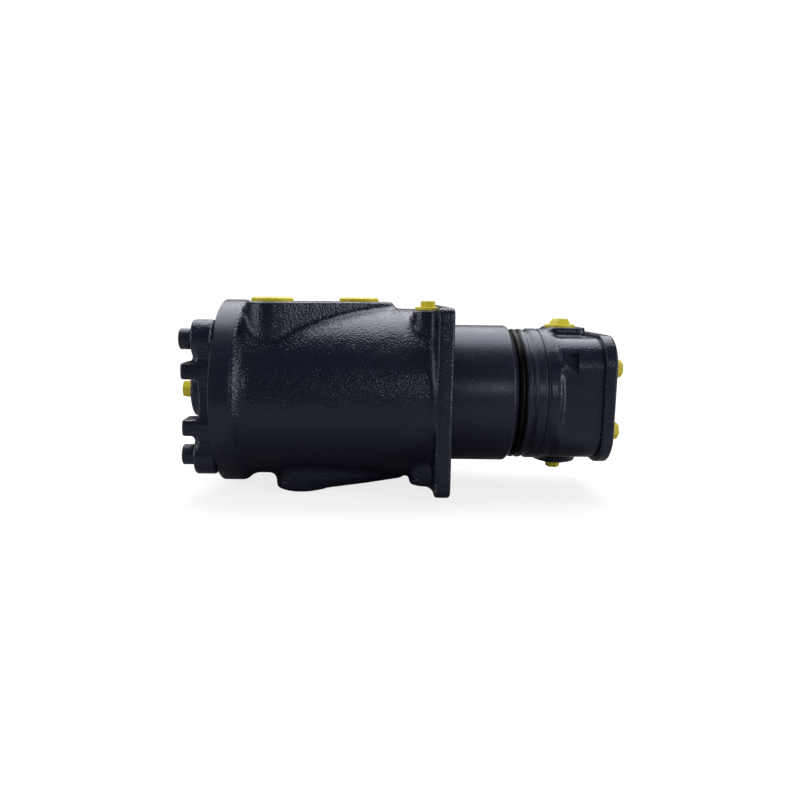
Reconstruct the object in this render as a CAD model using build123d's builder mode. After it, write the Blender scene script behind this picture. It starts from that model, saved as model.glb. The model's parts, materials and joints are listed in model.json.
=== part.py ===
"""Hydraulic rotary union (centre joint) for the slewing ring of a tracked machine.

The swivel axis lies along X. The cast housing carries a square mounting flange whose seating face
is the YZ plane, so the origin is where that face meets the swivel axis. The spindle head stands out
at +X, and the cover closes the housing at -X. Five annular oil channels in the housing bore join
the housing ports to galleries drilled in the spindle, with a slide ring on both sides of each.
All sizes are in millimetres.
"""

from build123d import *
import math
import os

# ---- Driving dimensions ---------------------------------------------------------------------
# Housing casting
FLANGE_SIDE = 162.0
FLANGE_THICK = 14.0
FLANGE_CORNER_R = 7.0
FLANGE_HOLE_SPACING = 132.0
FLANGE_HOLE_D = 13.5
BODY_R = 78.0
RING_R = 84.6
RING_WIDTH = 21.6
NECK_R = 63.5
NECK_LENGTH = 59.4
NECK_CHAMFER = 4.5
CAST_FILLET = 5.0

# Bore and running fit
BORE_R = 45.0
RUNNING_CLEARANCE = 0.05
CHAMBER_R = 55.0
CHAMBER_DEPTH = 25.4
CHAMBER_LAND = 3.4  # metal left between the last seal groove and the chamber

# Oil channels and seals
CHANNEL_X = (-156.0, -131.0, -81.0, -50.5, -20.0)
CHANNEL_WIDTH = 12.0
CHANNEL_DEPTH = 5.0
SEAL_LAND = 15.5  # from the middle of an outer channel to the middle of the seal beyond it
SEAL_WIDTH = 6.0
SLIDE_RING_T = 2.0
ENERGIZER_T = 2.4

# Port threads, given by the radius of the tapped hole
G1_R = 15.15
G34_R = 12.06
G12_R = 9.32
G38_R = 7.475
G14_R = 5.72
PORT_CHAMFER = 1.2
PORT_DEPTH = 24.0
PORT_REACH = 44.0
END_PORT_REACH = 38.0
WAY_STEP = 3.0
COVER_PORT_REACH = 36.0

# Housing port bosses
TOP_PAD_Z = 84.0
TOP_REAR_Y = -36.0
TOP_FRONT_Y = 4.0
TOP_REAR_BOSS_R = 23.5
TOP_FRONT_BOSS_R = 21.0
TOP_TIP_X = -62.0
TOP_TIP_R = 13.0
TOP_SMALL_BOSS_R = 13.5
TOP_SMALL_Z = 78.0
TOP_SMALL_Y = -42.0
FOOT_BOSS_Y = -22.0
FOOT_BOSS_R = 24.5
FOOT_BOSS_Z = -86.5
FAIRING_END_X = -39.0
FAIRING_END_RISE = 10.0
DRAIN_BOSS_Y = -42.0
DRAIN_BOSS_R = 13.5
DRAIN_BOSS_Z = -77.5
SPOT_FACE_R = 12.6
SPOT_FACE_DEPTH = 12.0
SIDE_BOSS_R = 23.5
SIDE_PAD_Y = 84.0  # Cover with its anti-rotation fork
COVER_HALF = 68.0
COVER_PLATE_T = 13.2
COVER_LOBE_T = 18.0
COVER_LOBE_R = 17.0
COVER_BOLT_OFFSET = 51.0
COVER_WAIST = 4.0
SPIGOT_LENGTH = 3.4
SPIGOT_CLEARANCE = 0.15
HUB_R = 27.0
HUB_TOP_R = 25.5
HUB_HEIGHT = 17.5
LUG_HEIGHT = 13.7
LUG_WIDTH = 14.5
LUG_OFFSET = 24.5
LUG_LENGTH = 24.0
O_RING_SECTION = 3.5

# Screws: M12 for the cover, M8 for the thrust plate
M12_D = 12.0
M12_HEAD_D = 18.0
M12_HEAD_H = 12.0
M12_LENGTH = 40.0
M12_HOLE_D = 13.0
M12_TAP_DEPTH = 27.0
M8_D = 8.0
M8_HEAD_D = 13.0
M8_HEAD_H = 8.0
M8_LENGTH = 22.0
M8_HOLE_D = 9.0
M8_SOCKET = 6.0
M12_SOCKET = 10.0
M8_CIRCLE_R = 14.0
SCREW_FIT = 0.1  # radial room round a thread that is drawn as a plain cylinder

# Thrust parts at the closed end
THRUST_WASHER_T = 3.0
THRUST_PLATE_T = 8.0
THRUST_PLATE_R = 53.0
THRUST_GAP = 0.2

# Spindle
GALLERY_R = 6.5
GALLERY_CIRCLE_R = 29.0
GALLERY_PLUG_LENGTH = 9.0
SHOULDER_R = 50.0
SHOULDER_GAP = 0.2
DUST_SEAL_R = 60.5
DUST_SEAL_WIDTH = 6.8
DUST_SEAL_GAP = 0.3
COLLAR_R = 60.5
COLLAR_WIDTH = 7.5
RELIEF_R = 55.0
RELIEF_WIDTH = 3.6
HEAD_RING_R = 61.0
HEAD_RING_WIDTH = 13.4
HEAD_GROOVE_WIDTH = 1.2
HEAD_GROOVE_DEPTH = 1.5
HEAD_ROUND_R = 61.0
HEAD_ROUND_LENGTH = 7.0
HEAD_BLOCK_HALF = 54.5
HEAD_BLOCK_CORNER_R = 28.0
HEAD_BLOCK_LENGTH = 34.3
HEAD_TOP_Z = 63.0
HEAD_BOTTOM_Z = -63.0
HEAD_SIDE_Y = 63.0
HEAD_BOSS_R = 20.0
HEAD_PORT_INSET = 14.8  # from the start of the cast head to the axis of its radial ports
HEAD_CHAMFER = 4.8
END_FLANGE_HALF = 57.5
END_FLANGE_T = 10.5
END_FLANGE_CORNER_R = 28.0
END_PORT_Y = -35.0
END_PORT_Z = 28.0

# Plastic transport caps: one line per kind gives flange radius, flange thickness, grip radius at
# the foot and at the top, grip height, and stem length
CAP_KINDS = {
    "wide": (18.4, 2.6, 17.4, 15.8, 1.2, 13.0),
    "dome": (14.0, 2.2, 9.5, 7.0, 5.2, 11.0),
    "hex": (11.4, 2.6, 6.0, 5.8, 5.2, 10.0),
    "end": (11.0, 2.4, 8.4, 6.8, 7.4, 10.0),
    "pilot": (10.5, 2.5, 8.0, 7.2, 9.5, 9.0),
}
CAP_WALL = 1.6
CAP_STEM_CLEARANCE = 0.3

# Steel plugs
STEEL_PLUG_LENGTH = 16.0
STEEL_SOCKET_SHARE = 0.5

# ---- Values worked out from the driving dimensions ----------------------------------------------
SEAL_X = [CHANNEL_X[0] - SEAL_LAND]
SEAL_X += [(left + right) / 2 for left, right in zip(CHANNEL_X, CHANNEL_X[1:])]
SEAL_X += [CHANNEL_X[-1] + SEAL_LAND]
CHAMBER_X = SEAL_X[0] - SEAL_WIDTH / 2 - CHAMBER_LAND
COVER_X = CHAMBER_X - CHAMBER_DEPTH
FLANGE_HALF = FLANGE_SIDE / 2
SHAFT_R = BORE_R - RUNNING_CLEARANCE
SHAFT_END_X = CHAMBER_X - THRUST_WASHER_T - THRUST_GAP
SHOULDER_X = NECK_LENGTH + SHOULDER_GAP
COLLAR_X = NECK_LENGTH + DUST_SEAL_GAP + DUST_SEAL_WIDTH
RELIEF_X = COLLAR_X + COLLAR_WIDTH
HEAD_RING_X = RELIEF_X + RELIEF_WIDTH
HEAD_GROOVE_X = HEAD_RING_X + HEAD_RING_WIDTH
HEAD_X = HEAD_GROOVE_X + HEAD_GROOVE_WIDTH
HEAD_BLOCK_X = HEAD_X + HEAD_ROUND_LENGTH
END_FLANGE_X = HEAD_BLOCK_X + HEAD_BLOCK_LENGTH
END_FACE_X = END_FLANGE_X + END_FLANGE_T
HEAD_PORT_X = HEAD_X + HEAD_PORT_INSET
HUB_X = COVER_X - COVER_PLATE_T - HUB_HEIGHT
LOBE_X = COVER_X - COVER_LOBE_T
GALLERY_ANGLES = (90, 270, 0, 150, 210)  # round from +Y, one spindle gallery for each channel

os.makedirs("parts", exist_ok=True)


def write(shape, name):
    """Labels a finished piece and writes it as one STEP file."""
    shape.label = name
    export_step(shape, f"parts/{name}.step")


def upward(x, y, z):
    """Plane at a port face that looks up."""
    return Plane(origin=(x, y, z), x_dir=(1, 0, 0), z_dir=(0, 0, 1))


def downward(x, y, z):
    """Plane at a port face that looks down."""
    return Plane(origin=(x, y, z), x_dir=(1, 0, 0), z_dir=(0, 0, -1))


def rearward(x, y, z):
    """Plane at a port face that looks along +Y."""
    return Plane(origin=(x, y, z), x_dir=(1, 0, 0), z_dir=(0, 1, 0))


def axial(x, y, z, way=1):
    """Plane at a face that looks along +X, or along -X where way is -1."""
    return Plane(origin=(x, y, z), x_dir=(0, 1, 0), z_dir=(way, 0, 0))


# Every port: its face plane, tapped radius, kind of cap and the radius of its oil way
HOUSING_PORTS = {
    "top_rear": (upward(CHANNEL_X[0], TOP_REAR_Y, TOP_PAD_Z), G1_R, "wide"),
    "foot": (downward(CHANNEL_X[1], FOOT_BOSS_Y, FOOT_BOSS_Z), G1_R, None),
    "top_front": (upward(CHANNEL_X[2], TOP_FRONT_Y, TOP_PAD_Z), G1_R, "wide"),
    "side": (rearward(CHANNEL_X[3], SIDE_PAD_Y, 0), G1_R, "wide"),
    "top_small": (upward(CHANNEL_X[4], TOP_SMALL_Y, TOP_SMALL_Z), G12_R, "hex"),
    "drain": (downward(CHANNEL_X[4], DRAIN_BOSS_Y, DRAIN_BOSS_Z), G12_R, None),
}
HEAD_PORTS = {
    "head_top": (upward(HEAD_PORT_X, 0, HEAD_TOP_Z), G34_R, "dome"),
    "head_bottom": (downward(HEAD_PORT_X, 0, HEAD_BOTTOM_Z), G12_R, "hex"),
    "head_side": (rearward(HEAD_PORT_X, HEAD_SIDE_Y, 0), G34_R, "dome"),
    "end_upper": (axial(END_FACE_X, END_PORT_Y, END_PORT_Z), G38_R, "end"),
    "end_lower": (axial(END_FACE_X, END_PORT_Y, -END_PORT_Z), G38_R, "end"),
}
COVER_PORT = (axial(HUB_X, 0, 0, -1), G14_R, "pilot")


def port_cutter(face, radius, reach):
    """Makes the solid to cut for a port: tapped hole, lead-in chamfer and the oil way behind."""
    with BuildPart() as cutter:
        with BuildSketch(face):
            Circle(radius)
        extrude(amount=-PORT_DEPTH)
        with BuildSketch(face):
            Circle(radius + PORT_CHAMFER)
        with BuildSketch(face.offset(-PORT_CHAMFER)):
            Circle(radius)
        loft()
        with BuildSketch(face):
            Circle(radius - WAY_STEP)
        extrude(amount=-reach)
    return cutter.part


# ---- Housing --------------------------------------------------------------------------------
with BuildPart() as housing:
    # Turned form: cover ring, cast barrel and machined neck
    with BuildSketch(Plane.XZ):
        with BuildLine():
            Polyline(
                (COVER_X, 0),
                (COVER_X, RING_R),
                (COVER_X + RING_WIDTH, RING_R),
                (COVER_X + RING_WIDTH + CAST_FILLET, BODY_R),
                (-FLANGE_THICK / 2, BODY_R),
                (-FLANGE_THICK / 2, NECK_R),
                (NECK_LENGTH - NECK_CHAMFER, NECK_R),
                (NECK_LENGTH, NECK_R - NECK_CHAMFER),
                (NECK_LENGTH, 0),
                close=True,
            )
        make_face()
    revolve(axis=Axis.X)

    # Square mounting flange
    with BuildSketch(Plane.YZ.offset(-FLANGE_THICK)):
        RectangleRounded(FLANGE_SIDE, FLANGE_SIDE, FLANGE_CORNER_R)
    extrude(amount=FLANGE_THICK)

    # Raised block that joins the two large top ports
    with BuildSketch(Plane.XY.offset(TOP_PAD_Z)):
        with Locations((CHANNEL_X[0], TOP_REAR_Y)):
            Circle(TOP_REAR_BOSS_R)
        with Locations((CHANNEL_X[2], TOP_FRONT_Y)):
            Circle(TOP_FRONT_BOSS_R)
        with Locations((TOP_TIP_X, TOP_FRONT_Y)):
            Circle(TOP_TIP_R)
        make_hull()
    extrude(amount=-TOP_PAD_Z)

    # Round pad of the small top port
    with BuildSketch(Plane.XY.offset(TOP_SMALL_Z)):
        with Locations((CHANNEL_X[4], TOP_SMALL_Y)):
            Circle(TOP_SMALL_BOSS_R)
    extrude(amount=-TOP_SMALL_Z)

    # Foot port boss with the fairing over its oil way
    with BuildSketch(Plane.XY.offset(FOOT_BOSS_Z)):
        with Locations((CHANNEL_X[1], FOOT_BOSS_Y)):
            Circle(FOOT_BOSS_R)
    extrude(amount=-FOOT_BOSS_Z)
    with BuildSketch(Plane.XZ.offset(-FOOT_BOSS_Y - FOOT_BOSS_R + CAST_FILLET)):
        with BuildLine():
            Polyline(
                (CHANNEL_X[1], 0),
                (CHANNEL_X[1], FOOT_BOSS_Z),
                (CHANNEL_X[1] + CAST_FILLET, FOOT_BOSS_Z),
                (FAIRING_END_X, FOOT_BOSS_Z + FAIRING_END_RISE),
                (FAIRING_END_X, 0),
                close=True,
            )
        make_face()
    extrude(amount=2 * (FOOT_BOSS_R - CAST_FILLET))

    # Drain port boss beside the flange
    with BuildSketch(Plane.XY.offset(DRAIN_BOSS_Z)):
        with Locations((CHANNEL_X[4], DRAIN_BOSS_Y)):
            Circle(DRAIN_BOSS_R)
    extrude(amount=-DRAIN_BOSS_Z)

    # Port boss on the far side
    with BuildSketch(rearward(CHANNEL_X[3], SIDE_PAD_Y, 0)):
        Circle(SIDE_BOSS_R)
    extrude(amount=-SIDE_PAD_Y)

    # Bore, chamber for the thrust parts, channels and seal grooves
    with BuildSketch(Plane.XZ):
        with BuildLine():
            Polyline(
                (COVER_X, 0),
                (COVER_X, CHAMBER_R),
                (CHAMBER_X, CHAMBER_R),
                (CHAMBER_X, BORE_R),
                (NECK_LENGTH, BORE_R),
                (NECK_LENGTH, 0),
                close=True,
            )
        make_face()
        for x in CHANNEL_X:
            with Locations((x, BORE_R)):
                Rectangle(CHANNEL_WIDTH, 2 * CHANNEL_DEPTH)
        for x in SEAL_X:
            with Locations((x, BORE_R)):
                Rectangle(SEAL_WIDTH, 2 * (SLIDE_RING_T + ENERGIZER_T))
    revolve(axis=Axis.X, mode=Mode.SUBTRACT)

    # Spot faces that clear the flange round the two small ports
    for name in ("top_small", "drain"):
        with BuildSketch(HOUSING_PORTS[name][0]):
            Circle(SPOT_FACE_R)
        extrude(amount=SPOT_FACE_DEPTH, mode=Mode.SUBTRACT)

    for face, radius, cap in HOUSING_PORTS.values():
        add(port_cutter(face, radius, PORT_REACH), mode=Mode.SUBTRACT)

    # Flange bolt holes and tapped holes for the cover
    with BuildSketch(Plane.YZ):
        with GridLocations(FLANGE_HOLE_SPACING, FLANGE_HOLE_SPACING, 2, 2):
            Circle(FLANGE_HOLE_D / 2)
    extrude(amount=-FLANGE_THICK, mode=Mode.SUBTRACT)
    with BuildSketch(axial(COVER_X, 0, 0)):
        with GridLocations(2 * COVER_BOLT_OFFSET, 2 * COVER_BOLT_OFFSET, 2, 2):
            Circle(M12_D / 2 + SCREW_FIT)
    extrude(amount=M12_TAP_DEPTH, mode=Mode.SUBTRACT)
write(housing.part, "housing")

# ---- Seals in the housing bore --------------------------------------------------------------
for number, x in enumerate(SEAL_X, start=1):
    # Slide ring that rubs on the shaft
    with BuildPart() as slide_ring:
        with BuildSketch(axial(x - SEAL_WIDTH / 2, 0, 0)):
            Circle(BORE_R + SLIDE_RING_T)
            Circle(BORE_R, mode=Mode.SUBTRACT)
        extrude(amount=SEAL_WIDTH)
    write(slide_ring.part, f"slide_ring_{number}")

    # Rubber ring behind it that loads the slide ring
    with BuildPart() as energizer:
        with BuildSketch(axial(x - SEAL_WIDTH / 2, 0, 0)):
            Circle(BORE_R + SLIDE_RING_T + ENERGIZER_T)
            Circle(BORE_R + SLIDE_RING_T, mode=Mode.SUBTRACT)
        extrude(amount=SEAL_WIDTH)
    write(energizer.part, f"energizer_{number}")

# ---- Cover with the anti-rotation fork --------------------------------------------------------
with BuildPart() as end_cover:
    # Plate with a lobe at each screw and waisted sides
    with BuildSketch(axial(COVER_X, 0, 0, -1)):
        with BuildLine():
            ThreePointArc(
                (-COVER_HALF + COVER_LOBE_R, COVER_HALF),
                (0, COVER_HALF - COVER_WAIST),
                (COVER_HALF - COVER_LOBE_R, COVER_HALF),
            )
            ThreePointArc(
                (COVER_HALF, COVER_HALF - COVER_LOBE_R),
                (COVER_HALF - COVER_WAIST, 0),
                (COVER_HALF, -COVER_HALF + COVER_LOBE_R),
            )
            ThreePointArc(
                (COVER_HALF - COVER_LOBE_R, -COVER_HALF),
                (0, -COVER_HALF + COVER_WAIST),
                (-COVER_HALF + COVER_LOBE_R, -COVER_HALF),
            )
            ThreePointArc(
                (-COVER_HALF, -COVER_HALF + COVER_LOBE_R),
                (-COVER_HALF + COVER_WAIST, 0),
                (-COVER_HALF, COVER_HALF - COVER_LOBE_R),
            )
            Line((COVER_HALF - COVER_LOBE_R, COVER_HALF), (COVER_HALF, COVER_HALF - COVER_LOBE_R))
            Line((COVER_HALF, -COVER_HALF + COVER_LOBE_R), (COVER_HALF - COVER_LOBE_R, -COVER_HALF))
            Line((-COVER_HALF + COVER_LOBE_R, -COVER_HALF), (-COVER_HALF, -COVER_HALF + COVER_LOBE_R))
            Line((-COVER_HALF, COVER_HALF - COVER_LOBE_R), (-COVER_HALF + COVER_LOBE_R, COVER_HALF))
        make_face()
    extrude(amount=COVER_PLATE_T)
    with BuildSketch(axial(COVER_X, 0, 0, -1)):
        with GridLocations(2 * COVER_BOLT_OFFSET, 2 * COVER_BOLT_OFFSET, 2, 2):
            Circle(COVER_LOBE_R)
    extrude(amount=COVER_LOBE_T)

    # Spigot that centres the cover in the chamber
    with BuildSketch(axial(COVER_X, 0, 0)):
        Circle(CHAMBER_R - SPIGOT_CLEARANCE)
    extrude(amount=SPIGOT_LENGTH)

    # Hub with the pilot port
    with BuildSketch(axial(COVER_X - COVER_PLATE_T, 0, 0, -1)):
        Circle(HUB_R)
    with BuildSketch(axial(HUB_X, 0, 0, -1)):
        Circle(HUB_TOP_R)
    loft()

    # Fork lugs
    with BuildSketch(axial(COVER_X - COVER_PLATE_T, 0, 0, -1)):
        with Locations(
            (-COVER_HALF + COVER_WAIST + LUG_LENGTH / 2, LUG_OFFSET),
            (-COVER_HALF + COVER_WAIST + LUG_LENGTH / 2, -LUG_OFFSET),
        ):
            RectangleRounded(LUG_LENGTH, LUG_WIDTH, CAST_FILLET)
    extrude(amount=LUG_HEIGHT)

    # O-ring groove round the foot of the spigot
    with BuildSketch(axial(COVER_X, 0, 0)):
        Circle(CHAMBER_R)
        Circle(CHAMBER_R - O_RING_SECTION, mode=Mode.SUBTRACT)
    extrude(amount=O_RING_SECTION, mode=Mode.SUBTRACT)

    face, radius, cap = COVER_PORT
    add(port_cutter(face, radius, COVER_PORT_REACH), mode=Mode.SUBTRACT)
    with BuildSketch(axial(COVER_X, 0, 0, -1)):
        with GridLocations(2 * COVER_BOLT_OFFSET, 2 * COVER_BOLT_OFFSET, 2, 2):
            Circle(M12_HOLE_D / 2)
    extrude(amount=COVER_LOBE_T, mode=Mode.SUBTRACT)
write(end_cover.part, "end_cover")

with BuildPart() as cover_o_ring:
    with BuildSketch(Plane.XZ):
        with Locations((COVER_X + O_RING_SECTION / 2, CHAMBER_R - O_RING_SECTION / 2)):
            Circle(O_RING_SECTION / 2)
    revolve(axis=Axis.X)
write(cover_o_ring.part, "cover_o_ring")

# ---- Cover screws -------------------------------------------------------------------------------
for number, (y, z) in enumerate(((-1, 1), (1, 1), (1, -1), (-1, -1)), start=1):
    y, z = y * COVER_BOLT_OFFSET, z * COVER_BOLT_OFFSET
    with BuildPart() as cover_screw:
        with BuildSketch(axial(LOBE_X, y, z, -1)):
            Circle(M12_HEAD_D / 2)
        extrude(amount=M12_HEAD_H)
        chamfer(cover_screw.faces().sort_by(Axis.X)[0].edges(), 0.8)
        with BuildSketch(axial(LOBE_X - M12_HEAD_H, y, z, -1)):
            RegularPolygon(M12_SOCKET / 2, 6, major_radius=False)
        extrude(amount=-M12_HEAD_H / 2, mode=Mode.SUBTRACT)
        with BuildSketch(axial(LOBE_X, y, z)):
            Circle(M12_D / 2)
        extrude(amount=M12_LENGTH)
    write(cover_screw.part, f"cover_screw_{number}")

# ---- Spindle --------------------------------------------------------------------------------------
with BuildPart() as spindle:
    # Turned form: shaft, seal shoulder, collar, relief, head ring and head groove
    with BuildSketch(Plane.XZ):
        with BuildLine():
            Polyline(
                (SHAFT_END_X, 0),
                (SHAFT_END_X, SHAFT_R - 1.5),
                (SHAFT_END_X + 1.5, SHAFT_R),
                (SHOULDER_X, SHAFT_R),
                (SHOULDER_X, SHOULDER_R),
                (COLLAR_X, SHOULDER_R),
                (COLLAR_X, COLLAR_R),
                (RELIEF_X, COLLAR_R),
                (RELIEF_X, RELIEF_R),
                (HEAD_RING_X, RELIEF_R),
                (HEAD_RING_X + HEAD_CHAMFER, HEAD_RING_R),
                (HEAD_GROOVE_X, HEAD_RING_R),
                (HEAD_GROOVE_X, HEAD_RING_R - HEAD_GROOVE_DEPTH),
                (HEAD_X, HEAD_RING_R - HEAD_GROOVE_DEPTH),
                (HEAD_X, HEAD_ROUND_R),
                (HEAD_BLOCK_X, HEAD_ROUND_R),
                (HEAD_BLOCK_X, 0),
                close=True,
            )
        make_face()
    revolve(axis=Axis.X)

    # Squared head and its end flange
    with BuildSketch(axial(HEAD_X, 0, 0)):
        RectangleRounded(2 * HEAD_BLOCK_HALF, 2 * HEAD_BLOCK_HALF, HEAD_BLOCK_CORNER_R)
    extrude(amount=END_FLANGE_X - HEAD_X)
    with BuildSketch(axial(END_FLANGE_X, 0, 0)):
        RectangleRounded(2 * END_FLANGE_HALF, 2 * END_FLANGE_HALF, END_FLANGE_CORNER_R)
    extrude(amount=END_FLANGE_T)
    chamfer(spindle.faces().sort_by(Axis.X)[-1].edges(), 1.2)

    # Port bosses: above, below and on the far side
    for face in [port[0] for name, port in HEAD_PORTS.items() if name.startswith("head")]:
        with BuildSketch(face):
            Circle(HEAD_BOSS_R)
        extrude(amount=-HEAD_BLOCK_HALF)

    # One axial gallery for each channel, with a radial way out to the channel
    for angle, x in zip(GALLERY_ANGLES, CHANNEL_X):
        y = GALLERY_CIRCLE_R * math.cos(math.radians(angle))
        z = GALLERY_CIRCLE_R * math.sin(math.radians(angle))
        with BuildSketch(axial(SHAFT_END_X, y, z)):
            Circle(GALLERY_R)
        extrude(amount=HEAD_PORT_X - SHAFT_END_X, mode=Mode.SUBTRACT)
        outward = Vector(0, y, z)
        with BuildSketch(Plane(origin=(x, y, z), x_dir=(1, 0, 0), z_dir=outward)):
            Circle(GALLERY_R)
        extrude(amount=SHAFT_R, mode=Mode.SUBTRACT)

    # Cored ways that lead the two end ports to their galleries
    for angle, side in zip(GALLERY_ANGLES[3:], (1, -1)):
        y = GALLERY_CIRCLE_R * math.cos(math.radians(angle))
        z = GALLERY_CIRCLE_R * math.sin(math.radians(angle))
        x = END_FACE_X - END_PORT_REACH
        run = Vector(0, END_PORT_Y - y, side * END_PORT_Z - z)
        with BuildSketch(Plane(origin=(x, y, z), x_dir=(1, 0, 0), z_dir=run)):
            Circle(G38_R - WAY_STEP)
        extrude(amount=run.length, mode=Mode.SUBTRACT)

    for name, (face, radius, cap) in HEAD_PORTS.items():
        reach = END_PORT_REACH if name.startswith("end") else PORT_REACH
        add(port_cutter(face, radius, reach), mode=Mode.SUBTRACT)

    # Tapped holes for the thrust plate
    with BuildSketch(axial(SHAFT_END_X, 0, 0)):
        with PolarLocations(M8_CIRCLE_R, 3, 30):
            Circle(M8_D / 2 + SCREW_FIT)
    extrude(amount=M8_LENGTH, mode=Mode.SUBTRACT)
write(spindle.part, "spindle")

# Press plugs that close the galleries at the shaft end
for number, angle in enumerate(GALLERY_ANGLES, start=1):
    y = GALLERY_CIRCLE_R * math.cos(math.radians(angle))
    z = GALLERY_CIRCLE_R * math.sin(math.radians(angle))
    with BuildPart() as gallery_plug:
        with BuildSketch(axial(SHAFT_END_X, y, z)):
            Circle(GALLERY_R)
        extrude(amount=GALLERY_PLUG_LENGTH)
    write(gallery_plug.part, f"gallery_plug_{number}")

# ---- Thrust washer, thrust plate and its screws ---------------------------------------------------
with BuildPart() as thrust_washer:
    with BuildSketch(axial(CHAMBER_X, 0, 0, -1)):
        Circle(THRUST_PLATE_R)
        Circle(BORE_R + THRUST_GAP, mode=Mode.SUBTRACT)
    extrude(amount=THRUST_WASHER_T)
write(thrust_washer.part, "thrust_washer")

with BuildPart() as thrust_plate:
    with BuildSketch(axial(SHAFT_END_X, 0, 0)):
        Circle(THRUST_PLATE_R)
        with PolarLocations(M8_CIRCLE_R, 3, 30):
            Circle(M8_HOLE_D / 2, mode=Mode.SUBTRACT)
    extrude(amount=-THRUST_PLATE_T)
write(thrust_plate.part, "thrust_plate")

for number in range(3):
    angle = math.radians(30 + 120 * number)
    y, z = M8_CIRCLE_R * math.cos(angle), M8_CIRCLE_R * math.sin(angle)
    plate_x = SHAFT_END_X - THRUST_PLATE_T
    with BuildPart() as thrust_screw:
        with BuildSketch(axial(plate_x, y, z, -1)):
            Circle(M8_HEAD_D / 2)
        extrude(amount=M8_HEAD_H)
        with BuildSketch(axial(plate_x - M8_HEAD_H, y, z, -1)):
            RegularPolygon(M8_SOCKET / 2, 6, major_radius=False)
        extrude(amount=-M8_HEAD_H / 2, mode=Mode.SUBTRACT)
        with BuildSketch(axial(plate_x, y, z)):
            Circle(M8_D / 2)
        extrude(amount=M8_LENGTH)
    write(thrust_screw.part, f"thrust_screw_{number + 1}")

# ---- Dust seal in the slot between neck and collar --------------------------------------------
with BuildPart() as dust_seal:
    with BuildSketch(axial(COLLAR_X, 0, 0, -1)):
        Circle(DUST_SEAL_R)
        Circle(SHOULDER_R, mode=Mode.SUBTRACT)
    extrude(amount=DUST_SEAL_WIDTH)
    rims = dust_seal.edges().filter_by(GeomType.CIRCLE).group_by(SortBy.RADIUS)[-1]
    fillet(rims, DUST_SEAL_WIDTH * 0.35)
write(dust_seal.part, "dust_seal")

# ---- Flush steel plugs in the two lower housing ports -------------------------------------------
for name in ("foot", "drain"):
    face, radius, cap = HOUSING_PORTS[name]
    with BuildPart() as steel_plug:
        with BuildSketch(face.offset(-PORT_CHAMFER)):
            Circle(radius)
        extrude(amount=-STEEL_PLUG_LENGTH)
        with BuildSketch(face.offset(-PORT_CHAMFER)):
            RegularPolygon(radius * STEEL_SOCKET_SHARE, 6, major_radius=False)
        extrude(amount=-STEEL_PLUG_LENGTH / 2, mode=Mode.SUBTRACT)
    write(steel_plug.part, f"{name}_plug")

# ---- Plastic transport caps -----------------------------------------------------------------------
for name, (face, radius, kind) in {**HOUSING_PORTS, **HEAD_PORTS, "cover": COVER_PORT}.items():
    if kind is None:
        continue
    flange_r, flange_t, foot_r, top_r, grip_h, stem_length = CAP_KINDS[kind]
    with BuildPart() as cap:
        # Flange on the port face
        with BuildSketch(face):
            Circle(flange_r)
        extrude(amount=flange_t)

        # Round or hexagonal grip
        for height, grip_r in ((flange_t, foot_r), (flange_t + grip_h, top_r)):
            with BuildSketch(face.offset(height)):
                if kind == "wide":
                    Circle(grip_r)
                else:
                    RegularPolygon(grip_r, 6, major_radius=False)
        loft()

        # Hollow stem down the tapped hole
        with BuildSketch(face):
            Circle(radius - CAP_STEM_CLEARANCE)
            Circle(radius - CAP_STEM_CLEARANCE - CAP_WALL, mode=Mode.SUBTRACT)
        extrude(amount=-stem_length)
    write(cap.part, f"{name}_cap")
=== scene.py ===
"""Dresses the hydraulic rotary union: cast body, port head, cover, screws, seal and port caps.

Every sub-assembly is a class that holds its own sizes in millimetres and builds its meshes in the
frame of the union: +X runs along the swivel axis towards the port head, +Z is up, and the origin
is the centre of the mounting flange's seating face.
"""

from __future__ import annotations

import json
import logging
import math
from dataclasses import dataclass
from enum import Enum
from typing import Any

import bmesh
import bpy
import numpy as np
from mathutils import Matrix, Vector

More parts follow.
